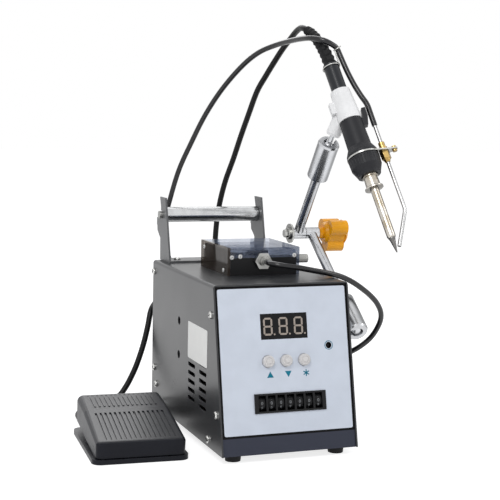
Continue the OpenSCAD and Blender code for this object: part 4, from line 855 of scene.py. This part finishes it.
@dataclass
class Coil:
    """The slack of the pedal's cord: two flat layers of turns, held by a tie."""

    middle: Pair = (-93.0, 134.5)
    pitch: float = 5.5
    outer: float = 32.0
    turns_in: float = 2.5
    turns_out: float = 2.25
    diameter: float = 5.0
    step: float = 2.4
    sides: int = 12
    lead_in: tuple[Point, ...] = (
        (-125.6, 107.5, 3.7), (-125.4, 113, 3.6), (-125.1, 121, 3), (-125, 128.5, 2.6),
    )
    lead_out: Point = (-89, 165, 8.1)
    turn_points: int = 24
    tie_turn: float = 20.0
    tie_width: float = 9.0
    tie_wall: float = 0.7
    tie_reach: Pair = (-3.6, 3.1)
    tie_heights: Pair = (0.05, 0.6)
    tie_square: float = 0.35

    def point(self, turn: float) -> Point:
        """Gives a point of the coil.

        Args:
            turn: Turns from the start.

        Returns:
            The point in case millimetres.
        """
        inner = self.outer - self.pitch * self.turns_in
        # Half a turn leads from the lower layer, wound inwards, to the upper, wound outwards
        climb = turn - self.turns_in
        if climb < 0:
            radius = self.outer - self.pitch * turn
        elif climb < 0.5:
            radius = inner - self.pitch * 0.2 * math.sin(2 * math.pi * climb)
        else:
            radius = inner + self.pitch * (climb - 0.5)
        height = self.diameter / 2 + self.pitch * max(0.0, min(1.0, 2 * climb))
        angle = math.pi * (1 - 2 * turn)
        x, y = self.middle
        return (x + radius * math.cos(angle), y + radius * math.sin(angle), height)

    def build(self, frame: Frame) -> None:
        """Lays the coil and its tie.

        Args:
            frame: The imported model.
        """
        total = self.turns_in + 0.5 + self.turns_out
        count = round(total * self.turn_points)
        turns = (self.point(i / self.turn_points) for i in range(count + 1))
        route = [*self.lead_in, *turns, self.lead_out]
        line, _ = curve_through([frame.at(p) for p in route], self.step * MM)
        tube = Tube(line, self.diameter * MM / 2, self.sides)
        piece = tube.mesh("pedal_cord_slack", 0, len(line) - 1)
        coat(piece, Finish.JACKET)
        tie = self.tie(frame)
        tube.length(0, len(line) - 1)
        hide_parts("pedal_cord_coil")
        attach(piece, "case")

    def tie(self, frame: Frame) -> bpy.types.Object:
        """Makes the strap round the turns on the side away from the pedal.

        Args:
            frame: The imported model.

        Returns:
            The strap.
        """
        low = self.outer - self.pitch * self.turns_in + self.tie_reach[0]
        high = self.outer + self.tie_reach[1]
        base, top = self.tie_heights[0], self.diameter + self.pitch + self.tie_heights[1]
        wall, turn = self.tie_wall, math.radians(self.tie_turn)
        out = Vector((math.cos(turn), math.sin(turn), 0))
        side = Vector((-out.y, out.x, 0))
        shape = Shape()
        rings = []
        for grow in (0.0, wall):
            for across in (-self.tie_width / 2, self.tie_width / 2):
                ring = []
                for corner in ring_outline(1.0, 40):
                    sx, sz = (math.copysign(abs(v) ** self.tie_square, v) for v in corner)
                    reach = (low + high) / 2 + sx * ((high - low) / 2 - wall + grow)
                    height = (top + base) / 2 + sz * ((top - base) / 2 - wall + grow)
                    place = Vector((*self.middle, height)) + out * reach + side * across
                    ring.append(shape.mesh.verts.new(frame.at(place)))
                rings.append(ring)
        shape.stack([rings[0], rings[1], rings[3], rings[2]], closed=True)
        return shape.piece("pedal_cord_tie", "case", Finish.TIE, "rubber")


FEED_TUBE = Cord(
    name="feed_tube_dressed",
    node="feed_tube",
    diameter=4.5,
    stiffness="medium",
    route=(
        (2, 35.6, 141.6), (2, 29, 141.6), (6, 24, 141), (13, 22, 140), (24, 21, 138.4),
        (36, 21, 136), (48, 22, 133.6), (60, 24, 130.4), (71, 26, 125.6), (82, 29, 119),
        (92, 33, 112), (100, 37, 104.6), (106, 42, 95.6), (107.6, 48, 86), (103, 54, 73.6),
        (92, 58, 64), (82, 66, 58), (73, 84, 54), (67, 108, 52), (65, 132, 53),
        (63, 154, 57), (56, 172, 63), (42, 185, 69), (24, 191, 76), (4, 194, 86),
        (-14, 195, 100), (-27, 196, 120), (-33, 196, 143), (-32, 196, 166), (-29.8, 195, 178),
        (-22, 194, 205), (-12.4, 190, 229), (-2, 182, 254.6), (9, 170, 277.2), (20.4, 152, 297),
        (29.4, 136, 308.4), (38.6, 119, 314.6), (43.6, 98, 317.4), (46, 82, 318.4),
        (49.2, 69, 318.4), (56.6, 60.6, 316.4), (64, 59.4, 313), (67.5, 59.7, 310.5),
        (69.6, 57.4, 304.6), (71.4, 54.4, 298.4), (73.6, 49.8, 290.4), (76.6, 43.4, 280.8),
        (79.8, 37.6, 272.8), (82.6, 32.3, 266.2), (84, 26.6, 257), (84.6, 24, 252.6),
        (85, 22.3, 249.8),
    ),
    crossings=(27, 30, 32, 34, 36, 39),
    finish=Finish.FEED,
)
IRON_CORD = Cord(
    name="iron_cord_dressed",
    node="iron_cord",
    diameter=5.0,
    stiffness="medium",
    route=(
        (8, 167.3, 104), (8, 170.6, 104.2), (8.1, 174, 105), (9, 181, 113.6), (11, 189, 126),
        (13.4, 194, 142), (15.4, 196, 160), (17.6, 194, 178), (20.8, 190, 196), (25.4, 183, 216),
        (29.4, 176, 236), (33, 168, 254.6), (36.8, 157, 276), (40.6, 147, 289), (44.6, 136, 302),
        (47.6, 125, 312.6), (50, 114, 320.6), (50.6, 106, 325), (50.8, 98, 327.6),
        (50.8, 92.6, 327.8), (51, 88.4, 326.9), (51.9, 85.4, 325.6),
    ),
    crossings=(6, 9, 11, 13, 15),
)
PEDAL_CORD = Cord(
    name="pedal_cord_dressed",
    node="pedal_cord",
    diameter=5.0,
    stiffness="medium",
    route=(
        (-32, 167.3, 98), (-32, 170.6, 98), (-33, 174.6, 97.6), (-36, 179, 96), (-42, 181, 92),
        (-48, 178.6, 87.6), (-52.6, 173, 82.4), (-56, 169.6, 70), (-60.4, 168, 54),
        (-66.6, 167, 36.6), (-72.4, 166.6, 24.4), (-77, 166, 17), (-82, 165.4, 11),
        (-88.6, 165, 8.2),
    ),
)


# Camera and studio


@dataclass
class Studio:
    """The camera at the photograph's place, soft lamps and a plain pale floor."""

    frame: Frame
    camera_at: Point = (-355.014, -867.689, 262.8)
    right: Point = (0.93577, -0.35201, 0.0208)
    upward: Point = (0.02091, 0.11426, 0.99323)
    focal_px: float = 1248.49
    frame_px: float = 500.0
    sensor: float = 36.0
    clip: Pair = (0.01, 20.0)
    aim: Point = (0, 60, 120)
    soft: float = 0.5
    soft_colour: Colour = (0.97, 0.98, 1.0)
    floor_half: float = 6.0
    floor_drop: float = 0.2
    floor_shade: Colour = (0.5, 0.5, 0.5)
    glow: float = 0.79
    lamps: tuple[tuple[Point, float, float], ...] = (
        ((-700, -900, 1150), 600.0, 8.6),
        ((900, -500, 800), 500.0, 2.4),
        ((100, 900, 1000), 900.0, 4.6),
    )

    def camera(self) -> None:
        """Makes the camera."""
        data = bpy.data.cameras.new("photo_camera")
        data.sensor_width = self.sensor
        data.lens = self.sensor * self.focal_px / self.frame_px
        data.clip_start, data.clip_end = self.clip
        camera = add_object("photo_camera", data)
        x, y = Vector(self.right).normalized(), Vector(self.upward).normalized()
        turn = Matrix((x, y, x.cross(y))).transposed().to_4x4()
        camera.matrix_world = Matrix.Translation(self.frame.at(self.camera_at)) @ turn
        bpy.context.scene.camera = camera

    def world(self) -> None:
        """Makes a plain world that the camera, gloss and clear pieces see as white."""
        g = Graph("studio", world=True)
        soft, white = (
            g.node("ShaderNodeBackground", None, {"Color": (*tone, 1.0), "Strength": power}).out(0)
            for tone, power in ((self.soft_colour, self.soft), ((1.0, 1.0, 1.0), 1.0))
        )
        mixed = g.node("ShaderNodeMixShader", None, {0: g.seen(), 1: soft, 2: white})
        bpy.context.scene.world = g.close(mixed.out(0))

    def floor(self) -> None:
        """Makes the pale floor, which keeps the shadows."""
        shape = Shape()
        bmesh.ops.create_grid(shape.mesh, x_segments=1, y_segments=1, size=self.floor_half)
        floor = shape.add("floor")
        floor.location.z = -self.floor_drop * MM
        g = Graph("pale_floor")
        base = g.blend(g.noise(60.0, 2.0), (0.88, 0.88, 0.88), (0.91, 0.91, 0.91))
        plain = g.surface(base_color=base, roughness=0.9)
        shade = g.surface(base_color=self.floor_shade, roughness=0.9, specular=0.0)
        glow = g.node("ShaderNodeEmission", None, {"Color": (1, 1, 1, 1), "Strength": self.glow})
        both = g.node("ShaderNodeAddShader", None, {0: shade, 1: glow.out("Emission")})
        inputs = {0: g.seen(), 1: plain, 2: both.out("Shader")}
        coat(floor, g.close(g.node("ShaderNodeMixShader", None, inputs).out("Shader")))
        floor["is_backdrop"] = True

    def lights(self) -> None:
        """Hangs the soft lamps."""
        aim = self.frame.at(self.aim)
        for i, (place, width, power) in enumerate(self.lamps):
            data = bpy.data.lights.new(f"lamp_{i}", "AREA")
            data.shape, data.size, data.energy = "DISK", width * MM, power
            lamp = add_object(f"lamp_{i}", data)
            lamp.location = self.frame.at(place)
            lamp.rotation_mode = "QUATERNION"
            lamp.rotation_quaternion = (aim - lamp.location).to_track_quat("-Z", "Y")

    def build(self) -> None:
        """Makes the camera, the light and the floor."""
        self.camera()
        self.world()
        self.floor()
        self.lights()
        bpy.context.scene.view_settings.view_transform = "Standard"


# The station's own pieces


@dataclass
class Group:
    """Some of the station's solids, which get a finish each."""

    FINISHES: ClassVar[dict[str, Finish]] = {}
    frame: Frame

    def dress(self) -> None:
        """Gives the solids their finishes and adds what they leave out."""
        for name, finish in self.FINISHES.items():
            self.give(name, finish)
        self.build()
        LOG.info("%s is dressed", type(self).__name__)

    def give(self, name: str, finish: Finish | bpy.types.Material) -> None:
        """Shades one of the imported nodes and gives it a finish."""
        smooth(self.frame.nodes[name])
        coat(self.frame.nodes[name], finish)

    def build(self) -> None:
        """Adds nothing where the solids have it all."""


@dataclass
class Case(Group):
    """The case, with its blank sticker and the painted shade in its screws' cross drives."""

    FINISHES: ClassVar[dict[str, Finish]] = {
        "case_cover": Finish.BLACK_SHEET,
        "chassis": Finish.SLATE_SHEET,
        "front_overlay": Finish.OVERLAY,
        "case_screws": Finish.SCREWS,
        "case_feet": Finish.RUBBER,
        "control_board": Finish.BOARD,
        "inlet_block": Finish.BLACK,
        "power_rocker": Finish.BLACK,
        "cord_glands": Finish.RUBBER,
        "transformer": Finish.PLATES,
        "spool_bracket": Finish.GREY_SHEET,
        "spool_axle": Finish.STEEL,
        "spool_roller": Finish.ROLLER,
    }

    screw_reach: float = 1.8
    drive_half: float = 1.7
    drive_wide: float = 0.34
    drive_top: float = 0.04
    drive_low: float = -0.25
    side_screws: tuple[Pair, ...] = (
        (154, 114.7), (151, 31.8), (144.2, 18.6), (3, 101.4), (-13.4, 28.8), (4.5, 5.9),
    )
    half_width: float = 55.0
    foot: float = 6.0
    sticker_half: Pair = (23.6, 14.5)
    sticker_corner: float = 1.6
    sticker_at: Pair = (34.4, 79.5)
    sticker_t: float = 0.12

    def drives(self) -> None:
        """Puts a thin dark cross on every side screw, as painted shade where its cross drive is."""
        shape = Shape()
        h, w = self.drive_half, self.drive_wide
        arm = [(w, w), (w, h), (-w, h), (-w, w), (-h, w), (-h, -w)]
        cross = arm + [(-x, -y) for x, y in arm]
        for side in (-1, 1):
            for y, z in self.side_screws:
                at = self.frame.at((side * (self.half_width + self.screw_reach), y, z + self.foot))
                # Every screw stands at an angle of its own
                tilt = Matrix.Rotation(math.radians(y * 37 % 90), 4, "Z")
                place = facing(at, (side, 0, 0)) @ tilt
                # Painted shade: a thin dark cross standing where the screw's cross drive would be
                # hollow.
                shape.plate(cross, place, self.drive_top, self.drive_low)
        shape.piece("screw_drive_shadows", "case", Finish.DARK, "steel")

    def sticker(self) -> None:
        """Puts the blank sticker on the left side."""
        shape = Shape()
        (half_w, half_h), corner = self.sticker_half, self.sticker_corner
        outline = []
        for sx, sy, start in ((1, 1, 0), (-1, 1, 90), (-1, -1, 180), (1, -1, 270)):
            # Six points cover 90 degrees, since the end of the sweep isn't one of them
            arc = ring_outline(corner, 6, start, 108)
            outline += [(sx * (half_w - corner) + x, sy * (half_h - corner) + y) for x, y in arc]
        at = self.frame.at((-self.half_width, *self.sticker_at))
        shape.plate(outline, facing(at, (-1, 0, 0)), self.sticker_t)
        shape.piece("side_sticker", "case", Finish.STICKER, "overlay")

    def build(self) -> None:
        """Dresses the case."""
        self.drives()
        self.sticker()


@dataclass
class Panel(Group):
    """What is printed or fitted on the slanted front."""

    FINISHES: ClassVar[dict[str, Finish]] = {
        "wheel_frame": Finish.BLACK,
        "button_up": Finish.CAPS,
        "button_down": Finish.CAPS,
        "button_set": Finish.CAPS,
        **{f"thumbwheel_{i}": Finish.WHEELS for i in range(1, 8)},
    }

    face_n: float = -0.5
    print_t: float = 0.05
    button_pitch: float = 14.6
    button_v: float = 58.3
    crown: tuple[Pair, ...] = (
        (4.0, 2.0), (3.95, 2.9), (3.6, 3.3), (3.0, 3.35), (2.75, 3.02), (2.2, 3.05), (1.95, 3.6),
        (1.5, 3.95), (0.7, 4.05),
    )
    symbol_x: float = 1.4
    symbol_v: float = 68.3
    arrow: Point = (2.7, -2.2, 2.5)
    star: Pair = (2.6, 0.42)
    star_lift: float = 1e-4
    lamp: Pair = (35.9, 48.3)
    lamp_ring: Pair = (3.0, 3.5)
    lamp_r: float = 2.4
    lamp_n: float = -3.4
    display_v: float = 32.2
    bank_x: float = 1.707
    bank_v: float = 89.4
    wheel_n: float = -6.05
    wheel_r: float = 5.8
    wheel_pitch: float = 7.62
    digit_size: float = 3.375
    digit_lift: float = 0.03

    def under_button(self, k: int) -> Matrix:
        """Gives the placing of a button's symbol, with k from -1 to 1."""
        x = k * self.button_pitch + self.symbol_x
        return self.frame.front_matrix(x, self.symbol_v, self.face_n)

    def symbols(self) -> None:
        """Prints the arrows and the star under the buttons, and the ring round the lamp."""
        shape = Shape()
        half, foot, top = self.arrow
        for k, up in ((-1, 1), (0, -1)):
            outline = [(-half, foot * up), (half, foot * up), (0, top * up)][::up]
            shape.plate(outline, self.under_button(k), self.print_t)
        for turn in (30, 90, 150):
            bar = self.under_button(1) @ Matrix.Rotation(math.radians(turn), 4, "Z")
            # The bars cross, so their tops lie at three heights
            shape.plate(box_outline(*self.star), bar, self.print_t + turn * self.star_lift)
        inner, outer = self.lamp_ring
        band = ((inner, 0.0), (outer, 0.0), (outer, self.print_t), (inner, self.print_t))
        shape.lathe(band, self.frame.front_matrix(*self.lamp, self.face_n), hollow=True)
        shape.piece("panel_symbols", "case", Finish.TEAL, "overlay")

    def steps(self) -> None:
        """Adds the stepped crown of each button."""
        for k, body in ((-1, "button_up"), (0, "button_down"), (1, "button_set")):
            shape = Shape()
            shape.lathe(self.crown, self.frame.front_matrix(k * self.button_pitch, self.button_v))
            shape.piece(f"{body}_crown", body, Finish.CAPS, "button_white")

    def lamp_body(self) -> None:
        """Sets the unlit lamp into its hole."""
        shape = Shape()
        dome = Matrix.Diagonal((1, 1, 0.6, 1))
        place = self.frame.front_matrix(*self.lamp, self.lamp_n) @ dome
        size = {"u_segments": 24, "v_segments": 16, "radius": self.lamp_r * MM}
        bmesh.ops.create_uvsphere(shape.mesh, matrix=place, **size)
        shape.piece("panel_lamp", "case", Finish.DARK, "display")

    def digits(self) -> None:
        """Prints the ten numbers round each thumbwheel."""
        for i in range(1, 8):
            shape = Shape()
            x = self.bank_x + (i - 4) * self.wheel_pitch
            centre = self.frame.front_matrix(x, self.bank_v, self.wheel_n)
            for number in range(10):
                self.number(shape, str(number), centre, math.radians(36 * number))
            shape.piece(f"wheel_numbers_{i}", f"thumbwheel_{i}", Finish.PRINT, "overlay")

    def number(self, shape: Shape, text: str, centre: Matrix, angle: float) -> None:
        """Wraps one number round a wheel.

        Args:
            shape: The shape that it goes into.
            text: The number.
            centre: The wheel's middle, with x along its axle.
            angle: Its place round the wheel.
        """
        curve = bpy.data.curves.new("number", "FONT")
        curve.body, curve.size = text, self.digit_size
        curve.align_x = curve.align_y = "CENTER"
        curve.resolution_u = 3
        obj = add_object("number", curve)
        flat = obj.to_mesh()
        reach = self.wheel_r + self.digit_lift
        spots = []
        for vert in flat.vertices:
            turn = angle + vert.co.y / reach
            spot = Vector((vert.co.x, reach * math.sin(turn), reach * math.cos(turn))) * MM
            spots.append(shape.mesh.verts.new(centre @ spot))
        for polygon in flat.polygons:
            shape.mesh.faces.new([spots[v] for v in polygon.vertices])
        obj.to_mesh_clear()
        bpy.data.objects.remove(obj)
        bpy.data.curves.remove(curve)

    def build(self) -> None:
        """Dresses the front."""
        out = (0.0, -math.cos(self.frame.FACE_ANGLE), math.sin(self.frame.FACE_ANGLE))
        at = tuple(self.frame.on_front(0, self.display_v, self.face_n))
        self.give("display_module", DisplayFace("display_face", out, at).build())
        self.symbols()
        self.steps()
        self.lamp_body()
        self.digits()


@dataclass
class Feeder(Group):
    """The clear-covered feeder on the case's top."""

    FINISHES: ClassVar[dict[str, Finish]] = {
        "feeder_base": Finish.BLACK,
        "feed_motor": Finish.STEEL,
        "drive_wheel": Finish.STEEL,
        "pressure_lever": Finish.GREY_SHEET,
        "pressure_roller": Finish.RUBBER,
        "tension_knob": Finish.STEEL,
        "outlet_fitting": Finish.STEEL,
    }

    left: float = -27.0
    front: float = 47.0
    wall: float = 2.1
    tint: Colour = (0.84, 0.87, 0.93)
    # Painted reflection: the brown of the clear cover's left wall.
    smoke: Colour = (0.42, 0.36, 0.3)
    front_screws: tuple[Pair, ...] = ((-23.6, 144.6), (-16.6, 145.2), (29.4, 145.4))
    side_screws: tuple[Pair, ...] = ((104.0, 147.0), (56.0, 133.6))
    head_steps: tuple[Point, ...] = ((1.7, 0.0, 0.55), (1.3, 0.5, 0.85))
    slot_half: Pair = (1.1, 0.17)
    slot_span: Pair = (0.6, 0.88)

    def screws(self) -> None:
        """Adds the white screws of the clear cover, with painted shade in their slots."""
        shape, slot_shadows = Shape(), Shape()
        at = self.frame.at
        places = [facing(at((x, self.front, z)), (0, -1, 0)) for x, z in self.front_screws]
        places += [facing(at((self.left, y, z)), (-1, 0, 0)) for y, z in self.side_screws]
        for i, place in enumerate(places):
            for radius, low, top in self.head_steps:
                shape.plate(ring_outline(radius, 24), place, top, low)
            tilt = place @ Matrix.Rotation(math.radians(25 + 50 * i), 4, "Z")
            low, top = self.slot_span
            # Painted shade: a thin dark bar standing where each screw's slot would be hollow.
            slot_shadows.plate(box_outline(*self.slot_half), tilt, top, low)
        shape.piece("feeder_screws", "case", Finish.NYLON, "button_white")
        slot_shadows.piece("feeder_screw_slot_shadows", "case", Finish.DARK, "black_plastic")

    def build(self) -> None:
        """Dresses the feeder."""
        smoke_from = self.frame.at((self.left + self.wall, 0, 0)).x
        clear = Acrylic("clear_cover", self.tint, self.smoke, smoke_from)
        self.give("feeder_cover", clear.build())
        self.screws()


class Arm(Group):
    """The two tubes, their ball joints and the knob that locks the elbow."""

    FINISHES: ClassVar[dict[str, Finish]] = {
        "arm_mount": Finish.CHROME,
        "base_stud": Finish.CHROME,
        "lower_arm": Finish.CHROME,
        "upper_arm": Finish.CHROME,
        "elbow_bolt": Finish.STEEL,
        "elbow_knob": Finish.KNOB,
        "clamp_stud": Finish.CHROME,
    }


class Iron(Group):
    """The iron, its clamp and the solder guide."""

    FINISHES: ClassVar[dict[str, Finish]] = {
        "iron_clamp": Finish.CLAMP,
        "handle_tail": Finish.HANDLE,
        "handle_grip": Finish.GRIP,
        "grip_nut": Finish.GRIP,
        "iron_barrel": Finish.BARREL,
        "iron_tip": Finish.TIP,
        "strain_relief": Finish.RUBBER,
        "wire_clip": Finish.STEEL,
        "guide_plate": Finish.STEEL,
        "guide_fitting": Finish.BRASS,
        "guide_needle": Finish.NEEDLE,
    }


@dataclass
class Pedal(Group):
    """The foot pedal, with the ribs of its treadle's back."""

    FINISHES: ClassVar[dict[str, Finish]] = {
        "pedal_base": Finish.PEDAL,
        "pedal_treadle": Finish.PEDAL,
        "pedal_spring": Finish.STEEL,
        "pedal_switch": Finish.BLACK,
    }

    corner: Point = (-108.7, -2.3, 0.0)
    turn: float = -4.0
    kink: Pair = (58.8, 27.36)
    crest: Pair = (91.7, 31.0)
    rib_count: int = 14
    rib_pitch: float = 3.7
    rib_width: float = 1.5
    rib_ends: Pair = (4.6, 26.2)
    rib_height: float = 0.5
    rib_root: float = -0.3
    spring_travel: float = 3.7

    def build(self) -> None:
        """Adds the raised ribs behind the bend of the treadle, and gives the spring a mesh of its
        own.
        """
        (v, h), (far, top) = self.kink, self.crest
        slope = Matrix.Rotation(math.atan2(top - h, far - v), 4, "X")
        turn = Matrix.Rotation(math.radians(self.turn), 4, "Z")
        pedal = Matrix.Translation(self.frame.at(self.corner)) @ turn
        place = pedal @ Matrix.Translation(Vector((0, v, h)) * MM) @ slope
        shape = Shape()
        half, (near, end) = self.rib_width / 2, self.rib_ends
        for i in range(self.rib_count):
            x = (i - (self.rib_count - 1) / 2) * self.rib_pitch
            outline = [(x - half, near + half), (x, near), (x + half, near + half)]
            outline += [(x + half, end - half), (x, end), (x - half, end - half)]
            shape.plate(outline, place, self.rib_height, self.rib_root)
        shape.piece("pedal_back_ribs", "pedal_treadle", Finish.PEDAL, "pedal_paint")
        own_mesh(self.frame.nodes["pedal_spring"])


def main() -> None:
    """Builds the scene in order and reports each piece."""
    logging.basicConfig(level=logging.INFO, format="%(message)s")
    frame = Frame()
    Studio(frame).build()
    for cord in (FEED_TUBE, IRON_CORD, PEDAL_CORD, Coil()):
        cord.build(frame)
    for group in (Case, Panel, Feeder, Arm, Iron, Pedal):
        group(frame).dress()


if __name__ == "__main__":
    main()
